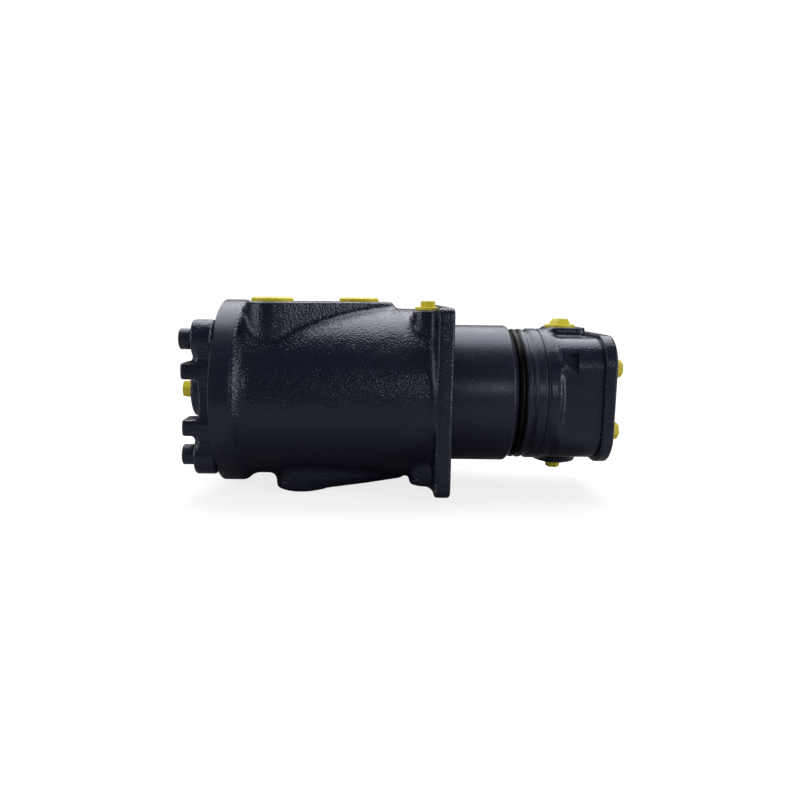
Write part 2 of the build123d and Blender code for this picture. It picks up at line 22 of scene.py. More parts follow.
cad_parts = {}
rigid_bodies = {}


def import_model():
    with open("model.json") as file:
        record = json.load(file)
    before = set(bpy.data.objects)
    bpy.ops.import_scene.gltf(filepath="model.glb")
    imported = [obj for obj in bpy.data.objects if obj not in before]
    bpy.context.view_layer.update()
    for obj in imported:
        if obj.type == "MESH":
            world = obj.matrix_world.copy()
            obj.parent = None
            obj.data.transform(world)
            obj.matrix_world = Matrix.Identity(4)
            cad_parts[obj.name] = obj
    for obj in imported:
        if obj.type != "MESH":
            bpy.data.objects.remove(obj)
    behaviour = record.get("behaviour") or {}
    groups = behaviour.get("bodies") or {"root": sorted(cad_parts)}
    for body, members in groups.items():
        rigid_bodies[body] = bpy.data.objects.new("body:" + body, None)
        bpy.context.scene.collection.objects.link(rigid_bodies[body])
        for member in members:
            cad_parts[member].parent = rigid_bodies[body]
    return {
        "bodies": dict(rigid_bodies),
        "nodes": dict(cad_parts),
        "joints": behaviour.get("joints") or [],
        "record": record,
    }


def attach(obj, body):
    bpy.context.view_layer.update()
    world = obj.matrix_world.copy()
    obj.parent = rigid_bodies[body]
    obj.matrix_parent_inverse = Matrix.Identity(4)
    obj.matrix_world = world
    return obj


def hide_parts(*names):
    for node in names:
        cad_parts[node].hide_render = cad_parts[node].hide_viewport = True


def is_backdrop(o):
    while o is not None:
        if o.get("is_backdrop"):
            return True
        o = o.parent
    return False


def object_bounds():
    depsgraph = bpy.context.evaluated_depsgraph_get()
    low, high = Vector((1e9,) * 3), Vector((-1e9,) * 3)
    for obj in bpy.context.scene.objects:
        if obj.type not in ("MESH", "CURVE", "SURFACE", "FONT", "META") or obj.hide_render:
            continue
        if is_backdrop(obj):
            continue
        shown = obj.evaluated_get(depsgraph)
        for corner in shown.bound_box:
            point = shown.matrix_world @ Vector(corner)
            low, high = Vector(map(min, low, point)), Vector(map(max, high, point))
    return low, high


log = logging.getLogger("rotary_union")

Point2 = tuple[float, float]
Point3 = tuple[float, float, float]
Span = tuple[float, float]
Colour = tuple[float, float, float]

MM = 0.001
ON_AXIS = 1e-6
FACE_UP = Matrix.Identity(4)

UP: Point3 = (0, 0, 1)
DOWN: Point3 = (0, 0, -1)
FAR: Point3 = (0, 1, 0)
RIGHT: Point3 = (1, 0, 0)
LEFT: Point3 = (-1, 0, 0)

# Places that several sub-assemblies share, in millimetres
COVER_FACE = -203.3
COVER_BOLTS = 51.0
COVER_LOBE = 18.0
SEAL_END = 66.5
HEAD_START = 84.8
HEAD_END = 144.0
HEAD_ROUND_R = 61.0
HEAD_PORT_X = 107.0
HEAD_REACH = 63.0
REAR_PORT: Point3 = (-156.0, -36.0, 84.0)
FRONT_PORT: Point3 = (-81.0, 4.0, 84.0)
SMALL_PORT: Point3 = (-20.0, -42.0, 78.0)
FOOT_PORT: Point3 = (-131.0, -22.0, -86.5)
DRAIN_PORT: Point3 = (-20.0, -42.0, -77.5)
SIDE_PORT: Point3 = (-50.5, 84.0, 0.0)


class Body(Enum):
    """The two bodies that turn against each other."""

    STATOR = "stator"
    ROTOR = "rotor"


class Grip(Enum):
    """Shapes of a transport cap's grip."""

    DISC = "disc"
    HEXAGON = "hexagon"


# ---- Mesh helpers -----------------------------------------------------------------------------


def make_object(name: str, bm: bmesh.types.BMesh, sharp: float = 35.0) -> bpy.types.Object:
    """Turns a bmesh into a linked object with smooth shading that breaks at sharp edges.

    Args:
        name: name of the object and of its mesh.
        bm: the bmesh, which is freed.
        sharp: edges bent by more than this many degrees stay sharp.

    Returns:
        The new object at the origin.
    """
    mesh = bpy.data.meshes.new(name)
    bmesh.ops.recalc_face_normals(bm, faces=bm.faces)
    bm.to_mesh(mesh)
    bm.free()
    finish_shading(mesh, sharp)
    obj = bpy.data.objects.new(name, mesh)
    bpy.context.scene.collection.objects.link(obj)
    return obj


def finish_shading(mesh: bpy.types.Mesh, sharp: float) -> None:
    """Shades a mesh smooth, with edges bent by more than sharp degrees kept sharp."""
    mesh.polygons.foreach_set("use_smooth", [True] * len(mesh.polygons))
    mesh.set_sharp_from_angle(angle=math.radians(sharp))


def soften(points: list[Point2], radius: float, steps: int = 4) -> list[Point2]:
    """Rounds the inner corners of an open outline.

    Args:
        points: corners of the outline in order.
        radius: rounding radius, limited by the runs on both sides of a corner.
        steps: number of segments in each arc.

    Returns:
        The outline with each inner corner replaced by an arc.
    """
    longest_share, shortest, straight = 0.45, 1e-4, -0.995
    out: list[Point2] = [points[0]]
    for before, corner, after in zip(points, points[1:], points[2:]):
        p, c, n = (Vector(q) for q in (before, corner, after))
        a, b = (p - c), (n - c)
        reach = min(radius, a.length * longest_share, b.length * longest_share)
        if reach < shortest or a.normalized().dot(b.normalized()) < straight:
            out.append(corner)
            continue
        start, end = c + a.normalized() * reach, c + b.normalized() * reach
        for i in range(steps + 1):
            t = i / steps
            q = start.lerp(c, t).lerp(c.lerp(end, t), t)
            out.append((q.x, q.y))
    out.append(points[-1])
    return out


def band(
    bm: bmesh.types.BMesh, first: list[bmesh.types.BMVert], second: list[bmesh.types.BMVert]
) -> None:
    """Joins two neighbouring rings of points with faces.

    Args:
        bm: the bmesh that holds the points.
        first: points of one ring, or the single point of a tip.
        second: as many points of the other ring, or the single point of a tip.
    """
    count = max(len(first), len(second))
    if count == 1:
        return
    for k in range(count):
        n = (k + 1) % count
        around = ((first, k), (first, n), (second, n), (second, k))
        corners = dict.fromkeys(ring[i % len(ring)] for ring, i in around)
        bm.faces.new(tuple(corners))


def turned(
    profile: list[Point2], place: Matrix | None = None, segments: int = 160
) -> bmesh.types.BMesh:
    """Revolves a profile about the X axis.

    Args:
        profile: (x, radius) pairs in millimetres. A run that starts and ends on the axis gives a
            closed solid, and a run with both ends off the axis is joined end to end into a ring.
        place: matrix that moves the turned form from its own X axis to its place, in metres.
        segments: number of facets round the axis.

    Returns:
        The turned form, in metres.
    """
    bm = bmesh.new()
    angles = [2 * math.pi * k / segments for k in range(segments)]
    rings: list[list[bmesh.types.BMVert]] = []
    for x, r in profile:
        if r < ON_AXIS:
            rings.append([bm.verts.new((x * MM, 0, 0))])
            continue
        places = [(x * MM, r * MM * math.cos(a), r * MM * math.sin(a)) for a in angles]
        rings.append([bm.verts.new(point) for point in places])
    for first, second in zip(rings, rings[1:]):
        band(bm, first, second)
    if len(rings[0]) > 1 and len(rings[-1]) > 1:
        band(bm, rings[-1], rings[0])
    if place is not None:
        bmesh.ops.transform(bm, matrix=place, verts=bm.verts)
    return bm


def prism(outline: list[Point2], low: float, high: float, plane: Matrix) -> bmesh.types.BMesh:
    """Raises a closed outline into a prism.

    Args:
        outline: corners in millimetres in the plane's own x and y.
        low: start of the prism along the plane's normal, in millimetres.
        high: end of the prism along the plane's normal, in millimetres.
        plane: matrix from the plane's own axes to the union's frame.

    Returns:
        The closed prism, in metres.
    """
    foot = [plane @ Vector((x * MM, y * MM, low * MM)) for x, y in outline]
    head = [plane @ Vector((x * MM, y * MM, high * MM)) for x, y in outline]
    return tube([foot, head])


def tube(sections: list[list[Vector]]) -> bmesh.types.BMesh:
    """Joins sections of as many points into a closed form.

    Args:
        sections: the points of each section in order round it, in metres.

    Returns:
        The closed form, in metres.
    """
    bm = bmesh.new()
    rings = [[bm.verts.new(point) for point in section] for section in sections]
    bm.faces.new(rings[0])
    bm.faces.new(rings[-1][::-1])
    for first, second in zip(rings, rings[1:]):
        band(bm, first, second)
    bmesh.ops.recalc_face_normals(bm, faces=bm.faces)
    return bm


def circle(x: float, y: float, radius: float, steps: int = 72) -> list[Point2]:
    """Gives the points of a circle."""
    turn = 2 * math.pi / steps
    return [(x + radius * math.cos(k * turn), y + radius * math.sin(k * turn)) for k in range(steps)]


def rounded_box(
    x0: float, x1: float, y0: float, y1: float, radius: float, steps: int = 10
) -> list[Point2]:
    """Gives the outline of a rectangle with rounded corners.

    Args:
        x0: low side in x.
        x1: high side in x.
        y0: low side in y.
        y1: high side in y.
        radius: radius of the corners.
        steps: number of segments in each corner.

    Returns:
        The outline in order round it.
    """
    out: list[Point2] = []
    for cx, cy, start in (
        (x1 - radius, y1 - radius, 0),
        (x0 + radius, y1 - radius, 90),
        (x0 + radius, y0 + radius, 180),
        (x1 - radius, y0 + radius, 270),
    ):
        for k in range(steps + 1):
            a = math.radians(start + 90 * k / steps)
            out.append((cx + radius * math.cos(a), cy + radius * math.sin(a)))
    return out


def square_box(half: float, radius: float, steps: int = 10) -> list[Point2]:
    """Gives the outline of a square about the centre with rounded corners."""
    return rounded_box(-half, half, -half, half, radius, steps)


def hull(points: list[Point2]) -> list[Point2]:
    """Finds the convex hull of points.

    Args:
        points: the points in any order.

    Returns:
        The corners of the hull, in order round it.
    """
    points = sorted(set(points))

    def half(run: list[Point2]) -> list[Point2]:
        """Gives one half of the hull, without its last point.

        Args:
            run: all points, sorted from one end to the other.

        Returns:
            The corners from the first point up to the last.
        """
        out: list[Point2] = []
        for p in run:
            while len(out) > 1 and (
                (out[-1][0] - out[-2][0]) * (p[1] - out[-2][1])
                - (out[-1][1] - out[-2][1]) * (p[0] - out[-2][0])
            ) <= 0:
                out.pop()
            out.append(p)
        return out[:-1]

    return half(points) + half(points[::-1])


def looking(origin: Point3, normal: Point3) -> Matrix:
    """Gives the plane at origin whose own z runs along normal.

    Args:
        origin: a point of the plane in millimetres.
        normal: direction of the plane's own z.

    Returns:
        The matrix from the plane's own axes to the union's frame, in metres.
    """
    mostly_along_x = 0.9
    z = Vector(normal).normalized()
    x = Vector(RIGHT) if abs(z.x) < mostly_along_x else Vector(FAR)
    y = z.cross(x).normalized()
    basis = Matrix((x, y, z)).transposed().to_4x4()
    return Matrix.Translation(Vector(origin) * MM) @ basis


def spun(origin: Point3, direction: Point3) -> Matrix:
    """Gives the matrix that takes a form turned about X to an axis through origin."""
    turn = Vector(RIGHT).rotation_difference(Vector(direction).normalized()).to_matrix()
    return Matrix.Translation(Vector(origin) * MM) @ turn.to_4x4()


def add_form(bm: bmesh.types.BMesh, form: bmesh.types.BMesh) -> None:
    """Adds a form to a bmesh.

    Args:
        bm: the bmesh that takes it.
        form: the form, which is freed.
    """
    mesh = bpy.data.meshes.new("form")
    form.to_mesh(mesh)
    form.free()
    bm.from_mesh(mesh)
    bpy.data.meshes.remove(mesh)


def gather(name: str, forms: list[bmesh.types.BMesh], sharp: float = 35.0) -> bpy.types.Object:
    """Joins several closed forms into one object without merging them.

    Args:
        name: name of the object.
        forms: the forms, which are freed.
        sharp: edges bent by more than this many degrees stay sharp.

    Returns:
        The new object at the origin.
    """
    bm = bmesh.new()
    for form in forms:
        add_form(bm, form)
    return make_object(name, bm, sharp)


def settle(obj: bpy.types.Object) -> None:
    """Applies the object's modifiers to its mesh and removes them.

    Args:
        obj: the object, which keeps its name.
    """
    graph = bpy.context.evaluated_depsgraph_get()
    old = obj.data
    mesh = bpy.data.meshes.new_from_object(obj.evaluated_get(graph))
    obj.modifiers.clear()
    obj.data = mesh
    mesh.name = obj.name
    bpy.data.meshes.remove(old)


def carve(obj: bpy.types.Object, cutter: bpy.types.Object) -> None:
    """Cuts one closed object out of another.

    Args:
        obj: the object that is cut.
        cutter: the object that is taken away, which is deleted.
    """
    mod = obj.modifiers.new("carve", "BOOLEAN")
    mod.operation = "DIFFERENCE"
    mod.object = cutter
    mod.solver = "EXACT"
    settle(obj)
    bpy.data.objects.remove(cutter, do_unlink=True)


def remesh(obj: bpy.types.Object, voxel: float) -> None:
    """Fuses overlapping closed forms into one even skin.

    Args:
        obj: the closed forms.
        voxel: size of the skin's faces in millimetres.
    """
    mod = obj.modifiers.new("fuse", "REMESH")
    mod.mode = "VOXEL"
    mod.voxel_size = voxel * MM
    settle(obj)


def swell(obj: bpy.types.Object, distance: float) -> None:
    """Moves a skin along its own normals.

    Args:
        obj: the skin.
        distance: how far it moves outwards, in millimetres.
    """
    mesh = obj.data
    count = len(mesh.vertices)
    places = np.empty(count * 3, dtype=np.float32)
    normals = np.empty(count * 3, dtype=np.float32)
    mesh.vertices.foreach_get("co", places)
    mesh.vertex_normals.foreach_get("vector", normals)
    mesh.vertices.foreach_set("co", places + normals * distance * MM)
    mesh.update()


def relax(obj: bpy.types.Object, rounds: int, factor: float = 0.5) -> None:
    """Evens a skin out.

    Args:
        obj: the skin.
        rounds: how often each point moves towards its neighbours.
        factor: how far it moves each time.
    """
    mod = obj.modifiers.new("relax", "SMOOTH")
    mod.iterations = rounds
    mod.factor = factor
    settle(obj)


def cast_skin(
    obj: bpy.types.Object, voxel: float, blend: float, rounds: int = 3
) -> bpy.types.Object:
    """Makes joined forms look cast: one skin with rounded inner corners and soft outer edges.

    Args:
        obj: closed forms that overlap.
        voxel: size of the skin's faces in millimetres.
        blend: radius of the inner corners in millimetres.
        rounds: how often the skin is evened out at the end.

    Returns:
        The same object.
    """
    swollen_rounds, skin_sharp = 2, 60.0
    remesh(obj, voxel)
    swell(obj, blend)
    remesh(obj, voxel)
    relax(obj, swollen_rounds)
    swell(obj, -blend)
    remesh(obj, voxel)
    relax(obj, rounds)
    finish_shading(obj.data, skin_sharp)
    mark_edges(obj)
    return obj


def mark_edges(obj: bpy.types.Object, rounds: int = 2) -> None:
    """Stores how far each point stands out from its neighbours, as the attribute edge.

    Args:
        obj: the skin.
        rounds: how often the measure is averaged with that of the neighbours.
    """
    mesh = obj.data
    count = len(mesh.vertices)
    places = np.empty(count * 3)
    normals = np.empty(count * 3, dtype=np.float32)
    mesh.vertices.foreach_get("co", places)
    mesh.vertex_normals.foreach_get("vector", normals)
    places, normals = places.reshape(-1, 3), normals.reshape(-1, 3).astype(float)
    ends = np.empty(len(mesh.edges) * 2, dtype=np.int64)
    mesh.edges.foreach_get("vertices", ends)
    ends = ends.reshape(-1, 2)
    value = np.zeros(count)
    share = np.zeros(count)
    for a, b in ((0, 1), (1, 0)):
        run = places[ends[:, a]] - places[ends[:, b]]
        length = np.maximum(np.linalg.norm(run, axis=1), 1e-9)
        np.add.at(value, ends[:, a], (run * normals[ends[:, a]]).sum(axis=1) / length)
        np.add.at(share, ends[:, a], 1)
    value = np.clip(value / np.maximum(share, 1), -1, 1)
    for _ in range(rounds):
        total = value.copy()
        weight = np.ones(count)
        for a, b in ((0, 1), (1, 0)):
            np.add.at(total, ends[:, a], value[ends[:, b]])
            np.add.at(weight, ends[:, a], 1)
        value = total / weight
    layer = mesh.attributes.new("edge", "FLOAT", "POINT")
    layer.data.foreach_set("value", value.astype(np.float32))


# ---- Finishes ---------------------------------------------------------------------------------


class Graph:
    """Short calls for building a node tree."""

    MIX_A, MIX_B, MIX_RESULT = 6, 7, 2

    def __init__(self, tree: bpy.types.NodeTree) -> None:
        """Keeps the tree that gets the nodes."""
        self.tree = tree

    def node(self, kind: str, **values: object) -> bpy.types.Node:
        """Adds a node and sets its own properties.

        Args:
            kind: the node's type.
            values: its properties by name.

        Returns:
            The node.
        """
        made = self.tree.nodes.new(kind)
        for key, value in values.items():
            setattr(made, key, value)
        return made

    def link(self, source: bpy.types.NodeSocket, target: bpy.types.NodeSocket) -> None:
        """Joins two sockets."""
        self.tree.links.new(source, target)

    def feed(self, target: bpy.types.NodeSocket, value: object) -> None:
        """Gives an input its value.

        Args:
            target: the input.
            value: a socket that is joined to it, or a plain value that it takes.
        """
        if isinstance(value, bpy.types.NodeSocket):
            self.link(value, target)
        else:
            target.default_value = value

    def math(self, operation: str, a: object, b: object) -> bpy.types.NodeSocket:
        """Adds a maths node, which isn't clamped.

        Args:
            operation: what it does.
            a: first socket or number.
            b: second socket or number.

        Returns:
            Its result.
        """
        made = self.node("ShaderNodeMath", operation=operation)
        self.feed(made.inputs[0], a)
        self.feed(made.inputs[1], b)
        return made.outputs[0]

    def times(self, a: object, b: object) -> bpy.types.NodeSocket:
        """Multiplies two sockets or numbers."""
        return self.math("MULTIPLY", a, b)

    def plus(self, a: object, b: object) -> bpy.types.NodeSocket:
        """Adds two sockets or numbers."""
        return self.math("ADD", a, b)

    def minus(self, a: object, b: object) -> bpy.types.NodeSocket:
        """Takes one socket or number from another."""
        return self.math("SUBTRACT", a, b)

    def noise(
        self, place: bpy.types.NodeSocket, scale: object, detail: float = 2.0, rough: float = 0.5
    ) -> bpy.types.NodeSocket:
        """Adds a noise texture.

        Args:
            place: where it is read.
            scale: a socket or number, in waves to the metre.
            detail: how many finer layers it has.
            rough: how strong the finer layers are.

        Returns:
            Its value.
        """
        made = self.node("ShaderNodeTexNoise")
        self.link(place, made.inputs["Vector"])
        self.feed(made.inputs["Scale"], scale)
        made.inputs["Detail"].default_value = detail
        made.inputs["Roughness"].default_value = rough
        return made.outputs["Fac"]

    def ramp(self, value: bpy.types.NodeSocket, low: float, high: float) -> bpy.types.NodeSocket:
        """Maps a range onto 0 to 1, clamped and smooth.

        Args:
            value: the socket that is mapped.
            low: what becomes 0.
            high: what becomes 1.

        Returns:
            The mapped value.
        """
        made = self.node("ShaderNodeMapRange", interpolation_type="SMOOTHSTEP")
        self.link(value, made.inputs["Value"])
        made.inputs["From Min"].default_value = low
        made.inputs["From Max"].default_value = high
        return made.outputs["Result"]

    def mix(self, share: object, a: object, b: object) -> bpy.types.NodeSocket:
        """Mixes two colours.

        Args:
            share: how much of the second colour there is.
            a: first colour.
            b: second colour.

        Returns:
            The mixed colour.
        """
        made = self.node("ShaderNodeMix", data_type="RGBA")
        self.feed(made.inputs[0], share)
        self.feed(made.inputs[self.MIX_A], a)
        self.feed(made.inputs[self.MIX_B], b)
        return made.outputs[self.MIX_RESULT]


def shader_group(
    name: str, inputs: list[tuple[str, str, object]], outputs: list[tuple[str, str]]
) -> tuple[Graph, bpy.types.Node, bpy.types.Node]:
    """Starts a shader node group.

    Args:
        name: the group's name.
        inputs: name, socket type and starting value of each input.
        outputs: name and socket type of each output.

    Returns:
        The graph with the group's input and output nodes.
    """
    tree = bpy.data.node_groups.new(name, "ShaderNodeTree")
    for label, kind, value in inputs:
        socket = tree.interface.new_socket(label, in_out="INPUT", socket_type=kind)
        if value is not None:
            socket.default_value = value
    for label, kind in outputs:
        tree.interface.new_socket(label, in_out="OUTPUT", socket_type=kind)
    graph = Graph(tree)
    return graph, graph.node("NodeGroupInput"), graph.node("NodeGroupOutput")


@dataclass(frozen=True)
class CastGrain:
    """The shared effect of a painted casting: sand grain, pits and orange peel."""

    pebble_detail: float = 0.6
    pebble_rough: float = 0.4
    broad_scale: float = 0.18
    broad_share: float = 0.3
    peel_scale: float = 3.2
    peel_share: float = 0.03
    pit_scale: float = 0.55
    pit_size: float = 0.28
    pit_share: float = 0.12
    patch_scale: float = 60.0
    patch_range: Span = (0.42, 0.62)
    patch_share: float = 0.25
    patch_base: float = 0.9

    def build(self) -> bpy.types.NodeTree:
        """Builds the group.

        Returns:
            A group from place, grain size and depth to a height and a mottle.
        """
        graph, start, end = shader_group(
            "cast grain",
            [
                ("Place", "NodeSocketVector", None),
                ("Grain", "NodeSocketFloat", 420.0),
                ("Depth", "NodeSocketFloat", 1.0),
            ],
            [("Height", "NodeSocketFloat"), ("Mottle", "NodeSocketFloat")],
        )
        place, grain, depth = (start.outputs[k] for k in ("Place", "Grain", "Depth"))
        pebble = graph.noise(place, grain, self.pebble_detail, self.pebble_rough)
        broad = graph.noise(place, graph.times(grain, self.broad_scale))
        peel = graph.noise(place, graph.times(grain, self.peel_scale), 1.0)
        pits = graph.node("ShaderNodeTexVoronoi")
        graph.link(place, pits.inputs["Vector"])
        graph.link(graph.times(grain, self.pit_scale), pits.inputs["Scale"])
        pit = graph.ramp(pits.outputs["Distance"], 0.0, self.pit_size)
        patch = graph.ramp(graph.noise(place, self.patch_scale, 1.0), *self.patch_range)
        patch = graph.plus(graph.times(patch, self.patch_share), self.patch_base)
        height = graph.plus(graph.times(pebble, patch), graph.times(broad, self.broad_share))
        height = graph.plus(height, graph.times(peel, self.peel_share))
        height = graph.plus(height, graph.times(pit, self.pit_share))
        graph.link(graph.times(height, depth), end.inputs["Height"])
        graph.link(broad, end.inputs["Mottle"])
        return graph.tree


@dataclass(frozen=True)
class EdgeWear:
    """The shared effect of use on paint: rubbed edges and small chips."""

    torn_scale: float = 320.0
    torn_detail: float = 4.0
    torn_rough: float = 0.65
    torn_level: float = 0.66
    gain: float = 5.0
    rubbed_range: Span = (0.02, 0.12)
    where_scale: float = 38.0
    where_range: Span = (0.52, 0.66)
    chip_scale: float = 210.0
    chip_detail: float = 3.0
    chip_rough: float = 0.6
    chip_range: Span = (0.745, 0.77)

    def build(self) -> bpy.types.NodeTree:
        """Builds the group.

        Returns:
            A group from place, edge measure, reach and chip share to a mask.
        """
        graph, start, end = shader_group(
            "edge wear",
            [
                ("Place", "NodeSocketVector", None),
                ("Edge", "NodeSocketFloat", 0.0),
                ("Reach", "NodeSocketFloat", 0.12),
                ("Chips", "NodeSocketFloat", 0.5),
            ],
            [("Mask", "NodeSocketFloat")],
        )
        place, edge, reach, chips = (start.outputs[k] for k in ("Place", "Edge", "Reach", "Chips"))
        torn = graph.noise(place, self.torn_scale, self.torn_detail, self.torn_rough)
        stood = graph.times(graph.minus(edge, reach), self.gain)
        rubbed = graph.plus(stood, graph.minus(torn, self.torn_level))
        where = graph.ramp(graph.noise(place, self.where_scale), *self.where_range)
        rubbed = graph.times(graph.ramp(rubbed, *self.rubbed_range), where)
        spots = graph.noise(place, self.chip_scale, self.chip_detail, self.chip_rough)
        spots = graph.times(graph.ramp(spots, *self.chip_range), chips)
        graph.link(graph.math("MAXIMUM", rubbed, spots), end.inputs["Mask"])
        return graph.tree


@dataclass(frozen=True)
class DustFilm:
    """The shared effect of a thin film of dust on faces that look up."""

    upward_range: Span = (0.1, 1.0)
    cloud_scale: float = 26.0
    cloud_detail: float = 5.0
    cloud_rough: float = 0.6
    cloud_range: Span = (0.35, 0.8)

    def build(self) -> bpy.types.NodeTree:
        """Builds the group.

        Returns:
            A group from place and amount to a mask.
        """
        graph, start, end = shader_group(
            "dust film",
            [("Place", "NodeSocketVector", None), ("Amount", "NodeSocketFloat", 0.2)],
            [("Mask", "NodeSocketFloat")],
        )
        place, amount = start.outputs["Place"], start.outputs["Amount"]
        geometry = graph.node("ShaderNodeNewGeometry")
        split = graph.node("ShaderNodeSeparateXYZ")
        graph.link(geometry.outputs["Normal"], split.inputs[0])
        upward = graph.ramp(split.outputs["Z"], *self.upward_range)
        cloud = graph.noise(place, self.cloud_scale, self.cloud_detail, self.cloud_rough)
        mask = graph.times(upward, graph.ramp(cloud, *self.cloud_range))
        graph.link(graph.times(mask, amount), end.inputs["Mask"])
        return graph.tree


GROUPS: dict[str, bpy.types.NodeTree] = {}


def use_group(graph: Graph, name: str, **values: object) -> bpy.types.Node:
    """Places one of the shared groups.

    Args:
        graph: the graph that gets it.
        name: the group's name.
        values: its inputs by name, in small letters.

    Returns:
        The group's node.
    """
    made = graph.node("ShaderNodeGroup", node_tree=GROUPS[name])
    for key, value in values.items():
        graph.feed(made.inputs[key.capitalize()], value)
    return made


@dataclass(frozen=True)
class Paint:
    """A coat of dark paint on cast or machined iron."""

    name: str
    colour: Colour = (0.0058, 0.0068, 0.0205)
    worn: Colour = (0.22, 0.22, 0.24)
    dusty: Colour = (0.13, 0.13, 0.135)
    sheen: Colour = (0.76, 0.81, 1.0)
    rough: float = 0.24
    specular: float = 0.75
    grain: float = 660.0
    depth: float = 1.0
    relief: float = 0.00046
    reach: float = 0.06
    chips: float = 0.5
    dust: float = 0.12
    mottle_light: float = 1.55
    mottle_rough: float = 0.14
    dust_rough: float = 0.5
    worn_rough: float = 0.2
    worn_metal: float = 0.6
    worn_depth: float = 0.35

    def build(self) -> bpy.types.Material:
        """Builds the material.

        Returns:
            The material with its grain, wear and dust.
        """
        material = bpy.data.materials.new(self.name)
        material.use_nodes = True
        graph = Graph(material.node_tree)
        shader = material.node_tree.nodes["Principled BSDF"]
        place = graph.node("ShaderNodeTexCoord").outputs["Object"]
        edge = graph.node("ShaderNodeAttribute", attribute_name="edge").outputs["Fac"]
        grain = use_group(graph, "cast grain", place=place, grain=self.grain, depth=self.depth)
        wear = use_group(
            graph, "edge wear", place=place, edge=edge, reach=self.reach, chips=self.chips
        ).outputs["Mask"]
        dust = use_group(graph, "dust film", place=place, amount=self.dust).outputs["Mask"]
        mottle = grain.outputs["Mottle"]
        light = tuple(min(1.0, c * self.mottle_light) for c in self.colour)
        coat = graph.mix(mottle, (*self.colour, 1), (*light, 1))
        coat = graph.mix(dust, coat, (*self.dusty, 1))
        coat = graph.mix(wear, coat, (*self.worn, 1))
        graph.link(coat, shader.inputs["Base Color"])
        rough = graph.plus(
            graph.times(mottle, self.mottle_rough), self.rough - self.mottle_rough / 2
        )
        rough = graph.plus(rough, graph.times(dust, self.dust_rough))
        rough = graph.plus(rough, graph.times(wear, self.worn_rough))
        graph.link(rough, shader.inputs["Roughness"])
        graph.link(graph.times(wear, self.worn_metal), shader.inputs["Metallic"])
        height = graph.minus(grain.outputs["Height"], graph.times(wear, self.worn_depth))
        bump = graph.node("ShaderNodeBump")
        bump.inputs["Strength"].default_value = 1.0
        bump.inputs["Distance"].default_value = self.relief
        graph.link(height, bump.inputs["Height"])
        graph.link(bump.outputs["Normal"], shader.inputs["Normal"])
        shader.inputs["Specular Tint"].default_value = (*self.sheen, 1)
        shader.inputs["Specular IOR Level"].default_value = self.specular
        return material


@dataclass(frozen=True)
class Plain:
    """A moulded plastic, rubber or bare metal finish with a fine texture."""

    name: str
    colour: Colour
    rough: float
    metallic: float = 0.0
    specular: float = 0.5
    grain: float = 900.0
    relief: float = 0.00005
    vary: float = 0.12
    cloud_scale: float = 70.0
    cloud_detail: float = 4.0
    cloud_rough: float = 0.6
    cloud_share: float = 0.5
    rough_share: float = 0.12

    def build(self) -> bpy.types.Material:
        """Builds the material.

        Returns:
            The material with its clouds and fine relief.
        """
        material = bpy.data.materials.new(self.name)
        material.use_nodes = True
        graph = Graph(material.node_tree)
        shader = material.node_tree.nodes["Principled BSDF"]
        place = graph.node("ShaderNodeTexCoord").outputs["Object"]
        cloud = graph.noise(place, self.cloud_scale, self.cloud_detail, self.cloud_rough)
        fine = graph.noise(place, self.grain)
        dark = tuple(c * (1 - self.vary) for c in self.colour)
        graph.link(graph.mix(cloud, (*dark, 1), (*self.colour, 1)), shader.inputs["Base Color"])
        rough = graph.plus(graph.times(cloud, self.rough_share), self.rough - self.rough_share / 2)
        graph.link(rough, shader.inputs["Roughness"])
        shader.inputs["Metallic"].default_value = self.metallic
        shader.inputs["Specular IOR Level"].default_value = self.specular
        bump = graph.node("ShaderNodeBump")
        bump.inputs["Distance"].default_value = self.relief
        height = graph.plus(fine, graph.times(cloud, self.cloud_share))
        graph.link(height, bump.inputs["Height"])
        graph.link(bump.outputs["Normal"], shader.inputs["Normal"])
        return material


@dataclass(frozen=True)
class Finishes:
    """Every material of the union."""

    cast: bpy.types.Material
    head: bpy.types.Material
    machined: bpy.types.Material
    fastener: bpy.types.Material
    cap: bpy.types.Material
    rubber: bpy.types.Material
    steel: bpy.types.Material
    slide: bpy.types.Material
    bronze: bpy.types.Material

    @classmethod
    def build(cls) -> Finishes:
        """Builds the shared groups and then each material.

        Returns:
            The materials by name.
        """
        GROUPS["cast grain"] = CastGrain().build()
        GROUPS["edge wear"] = EdgeWear().build()
        GROUPS["dust film"] = DustFilm().build()
        return cls(
            cast=Paint("navy paint on casting").build(),
            head=Paint("navy paint on port head", relief=0.00024, rough=0.27, dust=0.08).build(),
            machined=Paint(
                "navy paint on machined iron",
                rough=0.33,
                grain=700.0,
                depth=0.4,
                relief=0.00030,
                chips=0.35,
                dust=0.06,
            ).build(),
            fastener=Paint(
                "navy paint on screws", rough=0.4, grain=900.0, depth=0.4, relief=0.0001, chips=0.3
            ).build(),
            cap=Plain("yellow plastic", (0.93, 0.80, 0.035), 0.42, vary=0.08).build(),
            rubber=Plain("black rubber", (0.002, 0.002, 0.0022), 0.30, specular=0.12).build(),
            steel=Plain("oiled steel", (0.42, 0.42, 0.44), 0.32, metallic=1.0).build(),
            slide=Plain("green slide ring", (0.05, 0.14, 0.11), 0.35).build(),
            bronze=Plain("bronze", (0.55, 0.36, 0.15), 0.34, metallic=1.0).build(),
        )


def dress(obj: bpy.types.Object, material: bpy.types.Material) -> bpy.types.Object:
    """Gives an object one material.

    Args:
        obj: the object.
        material: its only material from now on.

    Returns:
        The same object.
    """
    obj.data.materials.clear()
    obj.data.materials.append(material)
    return obj


